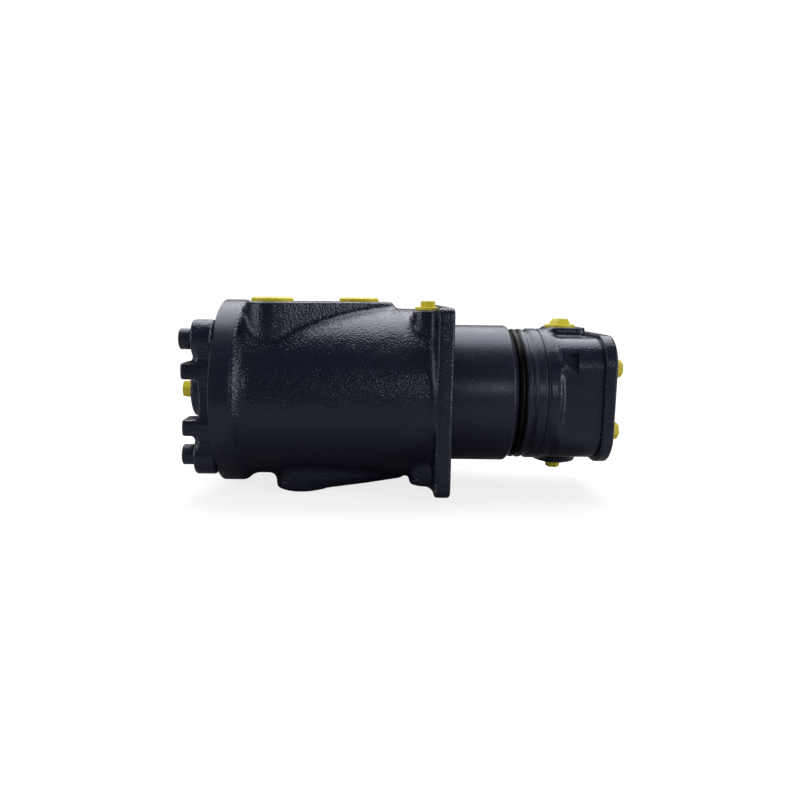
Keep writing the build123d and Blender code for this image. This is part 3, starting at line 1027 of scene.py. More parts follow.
def place_piece(obj: bpy.types.Object, body: Body, slot: str, *nodes: str) -> None:
    """Ties a piece to its body and hides the solids that it stands for.

    Args:
        obj: the finished piece.
        body: the body that it rides on.
        slot: the record's material slot; not used.
        nodes: the solids that it replaces.
    """
    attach(obj, body.value)
    if nodes:
        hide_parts(*nodes)
    log.info("%s rides on %s, %d faces", obj.name, body.value, len(obj.data.polygons))


# ---- Sub-assemblies ---------------------------------------------------------------------------


@dataclass
class HousingCasting:
    """The cast body with its cover ring, port bosses, foot boss and mounting flange."""

    body_r: float = 78.0
    ring_r: float = 84.6
    ring_width: float = 21.6
    ring_chamfer: float = 1.2
    step_half: float = 2.5
    step_drop: float = 4.6
    step_run: float = 8.0
    flange_half: float = 81.0
    flange_thick: float = 14.0
    flange_corner: float = 7.0
    hole_spacing: float = 132.0
    hole_r: float = 6.75
    hole_reach: Span = (-30.0, 10.0)
    hole_steps: int = 40
    rear_block_r: float = 23.5
    front_block_r: float = 21.0
    nose_block_r: float = 13.0
    nose_block_x: float = -62.0
    small_boss_r: float = 13.5
    foot_boss_r: float = 24.5
    side_boss_r: float = 23.5
    boss_depth: float = 60.0
    # Each section's run from the foot port, half width and rise
    fairing: tuple[Point3, ...] = (
        (0.0, 24.0, 0.0),
        (8.0, 24.0, 0.0),
        (60.0, 19.0, 6.0),
        (92.0, 14.0, 10.0),
    )
    fairing_corner: float = 9.0
    fairing_steps: int = 5
    spot_r: float = 12.6
    spot_height: float = 12.0
    foot_bore: float = 15.15
    drain_bore: float = 9.32
    bore_reach: Span = (-20.0, 4.0)
    port_steps: int = 56
    voxel: float = 1.45
    blend: float = 3.4
    sharp: float = 50.0

    def body_form(self) -> bmesh.types.BMesh:
        """Turns the barrel with its cover ring.

        Returns:
            The closed form.
        """
        ring_end = COVER_FACE + self.ring_width
        profile = [
            (COVER_FACE, 0.0),
            (COVER_FACE, self.ring_r - self.ring_chamfer),
            (COVER_FACE + self.ring_chamfer, self.ring_r),
            (ring_end - self.step_half, self.ring_r),
            (ring_end + self.step_half, self.ring_r - self.step_drop),
            (ring_end + self.step_run, self.body_r),
            (-self.flange_thick / 2, self.body_r),
            (-self.flange_thick / 2, 0.0),
        ]
        return turned(profile)

    def flange_form(self) -> bmesh.types.BMesh:
        """Raises the square mounting flange."""
        outline = square_box(self.flange_half, self.flange_corner)
        return prism(outline, -self.flange_thick, 0, looking((0, 0, 0), RIGHT))

    def top_block_form(self) -> bmesh.types.BMesh:
        """Raises the block under the two large top ports.

        Returns:
            The closed form.
        """
        outline = hull(
            circle(REAR_PORT[0], REAR_PORT[1], self.rear_block_r)
            + circle(FRONT_PORT[0], FRONT_PORT[1], self.front_block_r)
            + circle(self.nose_block_x, FRONT_PORT[1], self.nose_block_r)
        )
        return prism(outline, 0, REAR_PORT[2], FACE_UP)

    def boss_forms(self) -> list[bmesh.types.BMesh]:
        """Raises the single port bosses.

        Returns:
            One closed form for each boss.
        """
        bosses = (
            (SMALL_PORT, self.small_boss_r, UP),
            (FOOT_PORT, self.foot_boss_r, DOWN),
            (DRAIN_PORT, self.small_boss_r, DOWN),
            (SIDE_PORT, self.side_boss_r, FAR),
        )
        return [
            prism(circle(0, 0, radius), -self.boss_depth, 0, looking(port, normal))
            for port, radius, normal in bosses
        ]

    def fairing_form(self) -> bmesh.types.BMesh:
        """Raises the tapering fairing beside the foot boss.

        Returns:
            The closed form.
        """
        x, y, z = FOOT_PORT
        sections = []
        for run, half, rise in self.fairing:
            low, high, corner = y - half, y + half, self.fairing_corner
            outline = rounded_box(low, high, z + rise, 0, corner, self.fairing_steps)
            sections.append([Vector(((x + run) * MM, py * MM, pz * MM)) for py, pz in outline])
        return tube(sections)

    def bolt_cutter(self) -> bpy.types.Object:
        """Makes the pins that cut the flange's bolt holes.

        Returns:
            The cutter.
        """
        step = self.hole_spacing / 2
        outline = circle(0, 0, self.hole_r, self.hole_steps)
        pins = [
            prism(outline, *self.hole_reach, looking((0, y, z), RIGHT))
            for y in (-step, step)
            for z in (-step, step)
        ]
        return gather("flange holes", pins)

    def spot_cutter(self) -> bpy.types.Object:
        """Makes the two discs that cut the spot faces of the small ports.

        Returns:
            The cutter.
        """
        outline = circle(0, 0, self.spot_r, self.port_steps)
        discs = [
            prism(outline, 0, self.spot_height, looking(port, normal))
            for port, normal in ((SMALL_PORT, UP), (DRAIN_PORT, DOWN))
        ]
        return gather("spot faces", discs)

    def plug_cutter(self) -> bpy.types.Object:
        """Makes the pins that open the foot and drain ports for their steel plugs.

        Returns:
            The cutter.
        """
        pins = []
        for port, radius in ((FOOT_PORT, self.foot_bore), (DRAIN_PORT, self.drain_bore)):
            outline = circle(0, 0, radius, self.port_steps)
            pins.append(prism(outline, *self.bore_reach, looking(port, DOWN)))
        return gather("plug bores", pins)

    def build(self, finishes: Finishes) -> None:
        """Builds the casting and ties it to the stator.

        Args:
            finishes: every material.
        """
        forms = [self.body_form(), self.flange_form(), self.top_block_form(), self.fairing_form()]
        casting = gather("housing_casting", forms + self.boss_forms())
        cast_skin(casting, self.voxel, self.blend)
        carve(casting, self.bolt_cutter())
        carve(casting, self.spot_cutter())
        carve(casting, self.plug_cutter())
        finish_shading(casting.data, self.sharp)
        dress(casting, finishes.cast)
        place_piece(casting, Body.STATOR, "body_paint", "housing")


@dataclass
class CoverRing:
    """The turned rim and face that the cover is screwed to."""

    radius: float = 84.7
    width: float = 17.5
    inner: float = 60.0
    chamfer: float = 1.5
    drop: float = 2.5
    soft: float = 0.7
    segments: int = 224
    sharp: float = 25.0

    def build(self, finishes: Finishes) -> None:
        """Turns the rim over the casting.

        Args:
            finishes: every material.
        """
        end = COVER_FACE + self.width
        profile = [
            (COVER_FACE, self.inner),
            (COVER_FACE, self.radius),
            (end, self.radius),
            (end + self.chamfer, self.radius - self.drop),
            (end, self.inner),
        ]
        form = turned(soften(profile, self.soft), segments=self.segments)
        ring = dress(make_object("cover_ring", form, self.sharp), finishes.machined)
        place_piece(ring, Body.STATOR, "body_paint", "housing")


@dataclass
class HousingNeck:
    """The turned neck that centres the union in the machine."""

    start: float = -2.0
    radius: float = 63.5
    length: float = 59.4
    chamfer: float = 4.5
    bore_r: float = 50.3
    soft: float = 0.8
    segments: int = 192
    sharp: float = 25.0

    def build(self, finishes: Finishes) -> None:
        """Turns the neck with its end chamfer.

        Args:
            finishes: every material.
        """
        profile = [
            (self.start, self.bore_r),
            (self.start, self.radius),
            (self.length - self.chamfer, self.radius),
            (self.length, self.radius - self.chamfer),
            (self.length, self.bore_r),
        ]
        form = turned(soften(profile, self.soft), segments=self.segments)
        neck = dress(make_object("housing_neck", form, self.sharp), finishes.machined)
        place_piece(neck, Body.STATOR, "body_paint", "housing")


@dataclass
class EndCover:
    """The lobed cover with its hub and the torque fork.

    Its outlines are drawn in the plane of its seat, whose own x runs along the union's Y and whose
    own y runs down.
    """

    plate: float = 13.2
    lobe_r: float = 17.0
    half: float = 68.0
    waist: float = 4.0
    waist_steps: int = 24
    land_r: float = 44.0
    land_rise: float = 1.2
    hub_r: float = 27.0
    hub_top_r: float = 25.5
    hub_height: float = 17.5
    lug_height: float = 13.7
    lug_width: float = 14.5
    lug_offset: float = 24.5
    lug_reach: Span = (-68.0, -43.0)
    lug_corner: float = 3.0
    lug_steps: int = 5
    voxel: float = 1.0
    blend: float = 3.0

    def plate_outline(self) -> list[Point2]:
        """Works out the plate's outline: waisted sides between the lobes.

        Returns:
            The outline in order round it.
        """
        corner = self.half - self.lobe_r
        out: list[Point2] = []
        for turn in range(4):
            a = math.radians(90 * turn)
            for k in range(self.waist_steps + 1):
                t = -corner + 2 * corner * k / self.waist_steps
                bow = self.half - self.waist * (1 - (t / corner) ** 2)
                x = bow * math.cos(a) - t * math.sin(a)
                y = bow * math.sin(a) + t * math.cos(a)
                out.append((x, y))
        return out

    def hub_form(self) -> bmesh.types.BMesh:
        """Turns the tapered hub round the pilot port.

        Returns:
            The closed form.
        """
        plate_top = COVER_FACE - self.plate
        top = plate_top - self.hub_height
        profile = [
            (COVER_FACE, 0),
            (COVER_FACE, self.hub_r),
            (plate_top, self.hub_r),
            (top, self.hub_top_r),
            (top, 0),
        ]
        return turned(profile)

    def lug_forms(self, plane: Matrix) -> list[bmesh.types.BMesh]:
        """Raises the two lugs of the torque fork.

        Args:
            plane: the plane of the cover's seat.

        Returns:
            One closed form for each lug.
        """
        forms = []
        for side in (-1, 1):
            centre = side * self.lug_offset
            low, high = centre - self.lug_width / 2, centre + self.lug_width / 2
            outline = rounded_box(*self.lug_reach, low, high, self.lug_corner, self.lug_steps)
            forms.append(prism(outline, 0, self.plate + self.lug_height, plane))
        return forms

    def build(self, finishes: Finishes) -> None:
        """Builds the cover and ties it to the stator.

        Args:
            finishes: every material.
        """
        plane = looking((COVER_FACE, 0, 0), LEFT)
        forms = [prism(self.plate_outline(), 0, self.plate, plane)]
        for y in (-COVER_BOLTS, COVER_BOLTS):
            for z in (-COVER_BOLTS, COVER_BOLTS):
                forms.append(prism(circle(y, z, self.lobe_r), 0, COVER_LOBE, plane))
        forms.append(prism(circle(0, 0, self.land_r), 0, self.plate + self.land_rise, plane))
        forms.append(self.hub_form())
        forms.extend(self.lug_forms(plane))
        cover = cast_skin(gather("end_cover_casting", forms), self.voxel, self.blend)
        dress(cover, finishes.cast)
        place_piece(cover, Body.STATOR, "body_paint", "end_cover")


@dataclass
class CoverScrews:
    """The four socket head screws of the cover, each on a spring washer."""

    seat: float = COVER_FACE - COVER_LOBE
    head_r: float = 9.0
    head_height: float = 12.0
    head_soft: float = 1.0
    socket: float = 10.0
    socket_reach: Span = (6.0, 20.0)
    washer: float = 2.2
    washer_rim: float = 0.3
    washer_bore: float = 6.2
    washer_soft: float = 0.4
    segments: int = 48
    sharp: float = 30.0

    def washer_form(self) -> bmesh.types.BMesh:
        """Turns the spring washer, which reaches a little into the cover.

        Returns:
            The closed form.
        """
        rim_r = self.head_r + self.washer_rim
        profile = [
            (self.washer_rim, self.washer_bore),
            (self.washer_rim, rim_r),
            (-self.washer, rim_r),
            (-self.washer, self.washer_bore),
        ]
        return turned(soften(profile, self.washer_soft), segments=self.segments)

    def one_screw(self) -> bpy.types.Object:
        """Builds one screw with its washer, on the X axis and with its seat at the origin.

        Returns:
            The screw.
        """
        profile = [
            (-self.washer, 0.0),
            (-self.washer, self.head_r),
            (-self.head_height, self.head_r),
            (-self.head_height, 0.0),
        ]
        head = turned(soften(profile, self.head_soft), segments=self.segments)
        screw = make_object("cover screw", head, self.sharp)
        corner_r = self.socket / 2 / math.cos(math.pi / 6)
        angles = [math.radians(60 * k) for k in range(6)]
        hexagon = [(corner_r * math.cos(a), corner_r * math.sin(a)) for a in angles]
        cutter = prism(hexagon, *self.socket_reach, looking((0, 0, 0), LEFT))
        carve(screw, make_object("socket cutter", cutter))
        bm = bmesh.new()
        bm.from_mesh(screw.data)
        add_form(bm, self.washer_form())
        bm.to_mesh(screw.data)
        bm.free()
        finish_shading(screw.data, self.sharp)
        return screw

    def tree(self, template: bpy.types.Object, material: bpy.types.Material) -> bpy.types.NodeTree:
        """Builds the geometry nodes that set one screw on each corner of a square.

        Args:
            template: the screw to repeat.
            material: finish of the screws.

        Returns:
            The node tree, with the inputs Spacing and Seat.
        """
        tree = bpy.data.node_groups.new("screw square", "GeometryNodeTree")
        tree.interface.new_socket("Geometry", in_out="INPUT", socket_type="NodeSocketGeometry")
        tree.interface.new_socket("Spacing", in_out="INPUT", socket_type="NodeSocketFloat")
        tree.interface.new_socket("Seat", in_out="INPUT", socket_type="NodeSocketFloat")
        tree.interface.new_socket("Geometry", in_out="OUTPUT", socket_type="NodeSocketGeometry")
        graph = Graph(tree)
        start, end = graph.node("NodeGroupInput"), graph.node("NodeGroupOutput")
        grid = graph.node("GeometryNodeMeshGrid")
        grid.inputs["Vertices X"].default_value = 2
        grid.inputs["Vertices Y"].default_value = 2
        graph.link(start.outputs["Spacing"], grid.inputs["Size X"])
        graph.link(start.outputs["Spacing"], grid.inputs["Size Y"])
        stand = graph.node("GeometryNodeTransform")
        stand.inputs["Rotation"].default_value = (0, math.pi / 2, 0)
        shift = graph.node("ShaderNodeCombineXYZ")
        graph.link(start.outputs["Seat"], shift.inputs["X"])
        graph.link(shift.outputs[0], stand.inputs["Translation"])
        graph.link(grid.outputs["Mesh"], stand.inputs["Geometry"])
        points = graph.node("GeometryNodeInstanceOnPoints")
        shape = graph.node("GeometryNodeObjectInfo")
        shape.inputs["Object"].default_value = template
        graph.link(stand.outputs["Geometry"], points.inputs["Points"])
        graph.link(shape.outputs["Geometry"], points.inputs["Instance"])
        real = graph.node("GeometryNodeRealizeInstances")
        graph.link(points.outputs["Instances"], real.inputs["Geometry"])
        paint = graph.node("GeometryNodeSetMaterial")
        paint.inputs["Material"].default_value = material
        graph.link(real.outputs["Geometry"], paint.inputs["Geometry"])
        graph.link(paint.outputs["Geometry"], end.inputs["Geometry"])
        return tree

    def build(self, finishes: Finishes) -> None:
        """Repeats the screw on the cover's lobes and ties the screws to the stator.

        Args:
            finishes: every material.
        """
        template = self.one_screw()
        mesh = bpy.data.meshes.new("cover_screws")
        screws = bpy.data.objects.new("cover_screws", mesh)
        bpy.context.scene.collection.objects.link(screws)
        mod = screws.modifiers.new("square", "NODES")
        mod.node_group = self.tree(template, finishes.fastener)
        sizes = {"Spacing": 2 * COVER_BOLTS * MM, "Seat": self.seat * MM}
        for item in mod.node_group.interface.items_tree:
            if item.in_out == "INPUT" and item.name in sizes:
                mod[item.identifier] = sizes[item.name]
        settle(screws)
        bpy.data.objects.remove(template, do_unlink=True)
        nodes = [f"cover_screw_{k}" for k in range(1, 5)]
        place_piece(screws, Body.STATOR, "body_paint", *nodes)


@dataclass(frozen=True)
class CapShape:
    """Sizes of one kind of transport cap: its flange, its grip and the stem in the port."""

    flange_r: float
    flange_t: float
    grip_r: float
    grip: float
    stem_r: float
    stem: float
    hexagon_foot_r: float = 0.0
    flange_draft: float = 0.5
    stem_taper: float = 0.4
    stem_wall: float = 1.8
    stem_root: Point2 = (-1.0, 1.6)
    disc_draft: float = 0.3
    disc_rim: Point2 = (3.0, 4.2)
    disc_ring: Point2 = (7.2, 1.9)
    disc_middle: Point2 = (6.0, 1.3)
    hexagon_bed: float = 0.6
    hexagon_land: float = 0.2
    hexagon_chamfer: Point2 = (0.6, 0.5)
    hexagon_blunt: float = 0.965
    dish_share: Point2 = (0.62, 0.52)
    dish_depth: float = 2.4

    @property
    def style(self) -> Grip:
        """Tells a hexagon, which has a foot, from a disc."""
        return Grip.HEXAGON if self.hexagon_foot_r else Grip.DISC


WIDE_CAP = CapShape(18.4, 2.6, 15.8, 1.2, 14.85, 13.0)
DOME_CAP = CapShape(14.0, 2.2, 7.0, 5.2, 11.76, 11.0, hexagon_foot_r=9.5)
SMALL_CAP = CapShape(11.4, 2.6, 5.8, 5.2, 9.02, 10.0, hexagon_foot_r=6.0)
END_CAP = CapShape(11.0, 2.4, 6.8, 7.4, 7.175, 10.0, hexagon_foot_r=8.4)
PILOT_CAP = CapShape(10.5, 2.5, 7.2, 9.5, 5.42, 9.0, hexagon_foot_r=8.0)


@dataclass
class TransportCap:
    """A yellow plastic cap or plug that closes a port for transport."""

    node: str
    body: Body
    seat: Point3
    normal: Point3
    shape: CapShape
    turn: float = 12.0
    soft: float = 0.7
    segments: int = 72
    sides: int = 48
    sharp: float = 28.0

    def disc_face(self) -> list[Point2]:
        """Works out the upper side of a disc cap: its raised rim, sunk ring and middle.

        Returns:
            The profile from the axis out to the seat.
        """
        shape = self.shape
        top = shape.flange_t + shape.grip
        rim_width, rim_foot = shape.disc_rim
        ring_r, ring_drop = shape.disc_ring
        middle_r, middle_drop = shape.disc_middle
        return [
            (top - middle_drop, 0.0),
            (top - middle_drop, middle_r),
            (top - ring_drop, ring_r),
            (top - ring_drop, shape.grip_r - rim_foot),
            (top, shape.grip_r - rim_width),
            (top, shape.grip_r),
            (shape.flange_t, shape.flange_r - shape.disc_draft),
            (0.0, shape.flange_r),
        ]

    def flat_face(self) -> list[Point2]:
        """Gives the upper side of the flange under a hexagon."""
        thick, radius = self.shape.flange_t, self.shape.flange_r
        return [(thick, 0.0), (thick, radius - self.shape.flange_draft), (0.0, radius)]

    def flange_form(self) -> bmesh.types.BMesh:
        """Turns the flange with the stem below it.

        Returns:
            The closed form in its place.
        """
        shape = self.shape
        face = self.disc_face() if shape.style is Grip.DISC else self.flat_face()
        root, root_wall = shape.stem_root
        stem = [
            (0.0, shape.stem_r),
            (-shape.stem, shape.stem_r - shape.stem_taper),
            (-shape.stem, shape.stem_r - shape.stem_wall),
            (root, shape.stem_r - root_wall),
            (root, 0.0),
        ]
        profile = soften(face, self.soft) + stem
        return turned(profile, spun(self.seat, self.normal), self.segments)

    def grip_section(self, radius: float, hexagonal: bool) -> list[Point2]:
        """Works out one section of the grip.

        Args:
            radius: radius of the section over its corners.
            hexagonal: whether it has six sides with blunt corners, or else is round.

        Returns:
            The section's points in order round it.
        """
        sixth = math.pi / 6
        out: list[Point2] = []
        for k in range(self.sides):
            a = 2 * math.pi * k / self.sides
            # Angle from the nearest corner of the hexagon, up to half a side away
            fold = abs((a + sixth) % (2 * sixth) - sixth)
            flat = math.cos(sixth) / math.cos(sixth - fold)
            r = radius * min(flat, self.shape.hexagon_blunt) if hexagonal else radius
            a += math.radians(self.turn)
            out.append((r * math.cos(a), r * math.sin(a)))
        return out

    def hexagon_form(self) -> bmesh.types.BMesh:
        """Raises the tapered hexagon with its sunk top.

        Returns:
            The closed form in its place.
        """
        shape = self.shape
        plane = looking(self.seat, self.normal)
        over_corners = 1 / math.cos(math.pi / 6)
        foot_r, top_r = shape.hexagon_foot_r * over_corners, shape.grip_r * over_corners
        foot, top = shape.flange_t, shape.flange_t + shape.grip
        chamfer_width, chamfer_height = shape.hexagon_chamfer
        mouth, floor = shape.dish_share
        rows = (
            (foot_r, foot - shape.hexagon_bed, True),
            (foot_r, foot + shape.hexagon_land, True),
            (top_r, top - chamfer_height, True),
            (top_r - chamfer_width, top, True),
            (top_r * mouth, top, False),
            (top_r * floor, top - shape.dish_depth, True),
        )
        sections = []
        for radius, height, hexagonal in rows:
            points = self.grip_section(radius, hexagonal)
            sections.append([plane @ Vector((x * MM, y * MM, height * MM)) for x, y in points])
        return tube(sections)

    def build(self, finishes: Finishes) -> None:
        """Builds the cap and ties it to its body.

        Args:
            finishes: every material.
        """
        forms = [self.flange_form()]
        if self.shape.style is Grip.HEXAGON:
            forms.append(self.hexagon_form())
        cap = dress(gather(f"{self.node}_moulding", forms, self.sharp), finishes.cap)
        place_piece(cap, self.body, "cap_plastic", self.node)


@dataclass
class SpindleHead:
    """The cast port head of the spindle with its square end flange."""

    round_end: float = 96.0
    step_end: float = 97.6
    step_drop: float = 7.5
    block_start: float = 96.2
    block_half: float = 54.5
    block_corner: float = 28.0
    block_end: float = 133.5
    block_overlap: float = 2.0
    block_steps: int = 16
    flange_half: float = 57.5
    flange_corner: float = 28.0
    flange_steps: int = 24
    flange_voxel: float = 0.9
    flange_blend: float = 0.6
    flange_rounds: int = 2
    boss_r: float = 20.0
    boss_depth: float = 30.0
    pad_half: float = 18.5
    pad_corner: float = 7.0
    pad_foot: float = 30.0
    pad_overlap: float = 3.0
    # Corners of the pocket's floor: X from the ports' station, then Y and Z
    pocket: tuple[Point3, ...] = (
        (-5.0, -46.6, 42.0),
        (4.2, -46.6, 42.0),
        (3.8, -54.2, 24.0),
        (-8.0, -50.1, 33.7),
    )
    voxel: float = 1.1
    blend: float = 3.0
    sharp: float = 60.0

    def round_form(self) -> bmesh.types.BMesh:
        """Turns the round start of the head.

        Returns:
            The closed form.
        """
        profile = [
            (HEAD_START, 0),
            (HEAD_START, HEAD_ROUND_R),
            (self.round_end, HEAD_ROUND_R),
            (self.step_end, HEAD_ROUND_R - self.step_drop),
            (self.step_end, 0),
        ]
        return turned(profile)

    def block_form(self) -> bmesh.types.BMesh:
        """Raises the squared block, which reaches a little into the end flange."""
        outline = square_box(self.block_half, self.block_corner, self.block_steps)
        end = self.block_end + self.block_overlap
        return prism(outline, self.block_start, end, looking((0, 0, 0), RIGHT))

    def boss_forms(self) -> list[bmesh.types.BMesh]:
        """Raises the square top pad and the round bosses below and on the far side.

        Returns:
            One closed form for each boss.
        """
        back, front = self.block_start - self.pad_overlap, HEAD_PORT_X + self.boss_r
        pad = rounded_box(back, front, -self.pad_half, self.pad_half, self.pad_corner)
        forms = [prism(pad, self.pad_foot, HEAD_REACH, FACE_UP)]
        for normal in (DOWN, FAR):
            centre = (HEAD_PORT_X, normal[1] * HEAD_REACH, normal[2] * HEAD_REACH)
            outline = circle(0, 0, self.boss_r)
            forms.append(prism(outline, -self.boss_depth, 0, looking(centre, normal)))
        return forms

    def pocket_form(self) -> bmesh.types.BMesh:
        """Makes the wedge that cuts the slanted pocket beside the top boss.

        Returns:
            The closed form, which reaches out past the block.
        """
        floor = [(HEAD_PORT_X + x, y, z) for x, y, z in self.pocket]
        mouth = [(x, -HEAD_REACH, z) for x, _, z in floor]
        return tube([[Vector(corner) * MM for corner in side] for side in (floor, mouth)])

    def build_casting(self, finishes: Finishes) -> None:
        """Builds the head's casting with its pocket.

        Args:
            finishes: every material.
        """
        forms = [self.round_form(), self.block_form(), *self.boss_forms()]
        head = cast_skin(gather("port_head_casting", forms), self.voxel, self.blend)
        carve(head, make_object("pocket", self.pocket_form()))
        finish_shading(head.data, self.sharp)
        dress(head, finishes.head)
        place_piece(head, Body.ROTOR, "spindle_paint", "spindle")

    def build_flange(self, finishes: Finishes) -> None:
        """Builds the end flange, whose edges are crisper than the casting's.

        Args:
            finishes: every material.
        """
        outline = square_box(self.flange_half, self.flange_corner, self.flange_steps)
        form = prism(outline, self.block_end, HEAD_END, looking((0, 0, 0), RIGHT))
        plate = make_object("head_end_flange", form)
        cast_skin(plate, self.flange_voxel, self.flange_blend, self.flange_rounds)
        dress(plate, finishes.head)
        place_piece(plate, Body.ROTOR, "spindle_paint", "spindle")

    def build(self, finishes: Finishes) -> None:
        """Builds the head and its end flange and ties them to the rotor."""
        self.build_casting(finishes)
        self.build_flange(finishes)


@dataclass
class SpindleCollar:
    """The turned seal carrier and collars between the neck and the head."""

    journal_start: float = 50.0
    journal_r: float = 49.5
    shoulder_start: float = 59.6
    shoulder_r: float = 50.0
    lip_r: float = 60.5
    lip_chamfer: Point2 = (1.4, 1.6)
    lip_back: float = 1.0
    groove_start: float = 71.4
    groove_r: float = 58.4
    groove_end: float = 73.6
    collar_start: float = 76.4
    collar_end: float = 83.8
    collar_chamfer: float = 0.5
    slot_drop: float = 1.5
    joint_drop: float = 0.4
    joint_overlap: float = 1.5
    soft: float = 0.35
    segments: int = 192
    sharp: float = 25.0

    def build(self, finishes: Finishes) -> None:
        """Turns the collars and ties them to the rotor.

        Args:
            finishes: every material.
        """
        lip_run, lip_drop = self.lip_chamfer
        slot_r, joint_r = HEAD_ROUND_R - self.slot_drop, HEAD_ROUND_R - self.joint_drop
        end = HEAD_START + self.joint_overlap
        profile = [
            (self.journal_start, 0.0),
            (self.journal_start, self.journal_r),
            (self.shoulder_start, self.journal_r),
            (self.shoulder_start, self.shoulder_r),
            (SEAL_END, self.shoulder_r),
            (SEAL_END, self.lip_r - lip_drop),
            (SEAL_END + lip_run, self.lip_r),
            (self.groove_start - self.lip_back, self.lip_r),
            (self.groove_start, self.lip_r - self.lip_back),
            (self.groove_start, self.groove_r),
            (self.groove_end, self.groove_r),
            (self.collar_start, HEAD_ROUND_R),
            (self.collar_end - self.collar_chamfer, HEAD_ROUND_R),
            (self.collar_end, HEAD_ROUND_R - self.collar_chamfer),
            (self.collar_end, slot_r),
            (HEAD_START, slot_r),
            (HEAD_START, joint_r),
            (end, joint_r),
            (end, 0.0),
        ]
        form = turned(soften(profile, self.soft), segments=self.segments)
        collar = dress(make_object("spindle_collar", form, self.sharp), finishes.machined)
        place_piece(collar, Body.ROTOR, "spindle_paint", "spindle")


@dataclass
class DustSeal:
    """The black rubber ring between neck and collar."""

    start: float = 59.7
    inner: float = 50.0
    outer: float = 60.5
    # Share of the ring's width and drop below its outer radius, from neck to collar
    bead: tuple[Point2, ...] = (
        (0.0, 2.6),
        (0.20, 0.6),
        (0.45, 0.0),
        (0.66, 0.7),
        (0.72, 2.0),
        (0.80, 2.0),
        (0.86, 0.9),
        (1.0, 1.2),
    )
    soft: float = 0.6
    segments: int = 192
    sharp: float = 40.0

    def build(self, finishes: Finishes) -> None:
        """Turns the seal with its bead and shallow lip.

        Args:
            finishes: every material.
        """
        width = SEAL_END - self.start
        outside = [(self.start + share * width, self.outer - drop) for share, drop in self.bead]
        profile = [(self.start, self.inner), *outside, (SEAL_END, self.inner)]
        form = turned(soften(profile, self.soft), segments=self.segments)
        seal = dress(make_object("dust_seal_ring", form, self.sharp), finishes.rubber)
        place_piece(seal, Body.ROTOR, "rubber", "dust_seal")


@dataclass
class InnerParts:
    """Solids that keep their shape and only get a finish."""

    replaced: str = "dust_seal"

    def build(self, frame: dict[str, Any], finishes: Finishes) -> None:
        """Gives each kept solid its material.

        Args:
            finishes: every material.
        """
        by_slot = {
            "steel": finishes.steel,
            "bronze": finishes.bronze,
            "rubber": finishes.rubber,
            "slide_ring": finishes.slide,
        }
        slots = {part["node"]: part["material_slot"] for part in frame["record"]["subparts"]}
        for name, node in frame["nodes"].items():
            material = by_slot.get(slots.get(name, ""))
            if material is None or name == self.replaced:
                continue
            if not node.material_slots:
                node.data.materials.append(material)
            for holder in node.material_slots:
                holder.material = material


# ---- Stage --------------------------------------------------------------------------------------


@dataclass(frozen=True)
class Lamp:
    """A soft area lamp that looks at the union."""

    name: str
    place: Point3
    size: tuple[float, float]
    power: float
    aim: Point3 = (-50.0, 0.0, 0.0)

    def build(self) -> None:
        """Adds the lamp, with its size in metres and its power in watts."""
        data = bpy.data.lights.new(self.name, "AREA")
        data.shape = "RECTANGLE"
        data.size, data.size_y = self.size
        data.energy = self.power
        lamp = bpy.data.objects.new(self.name, data)
        bpy.context.scene.collection.objects.link(lamp)
        lamp.location = Vector(self.place) * MM
        sight = Vector(self.aim) * MM - lamp.location
        lamp.rotation_euler = sight.to_track_quat("-Z", "Y").to_euler()


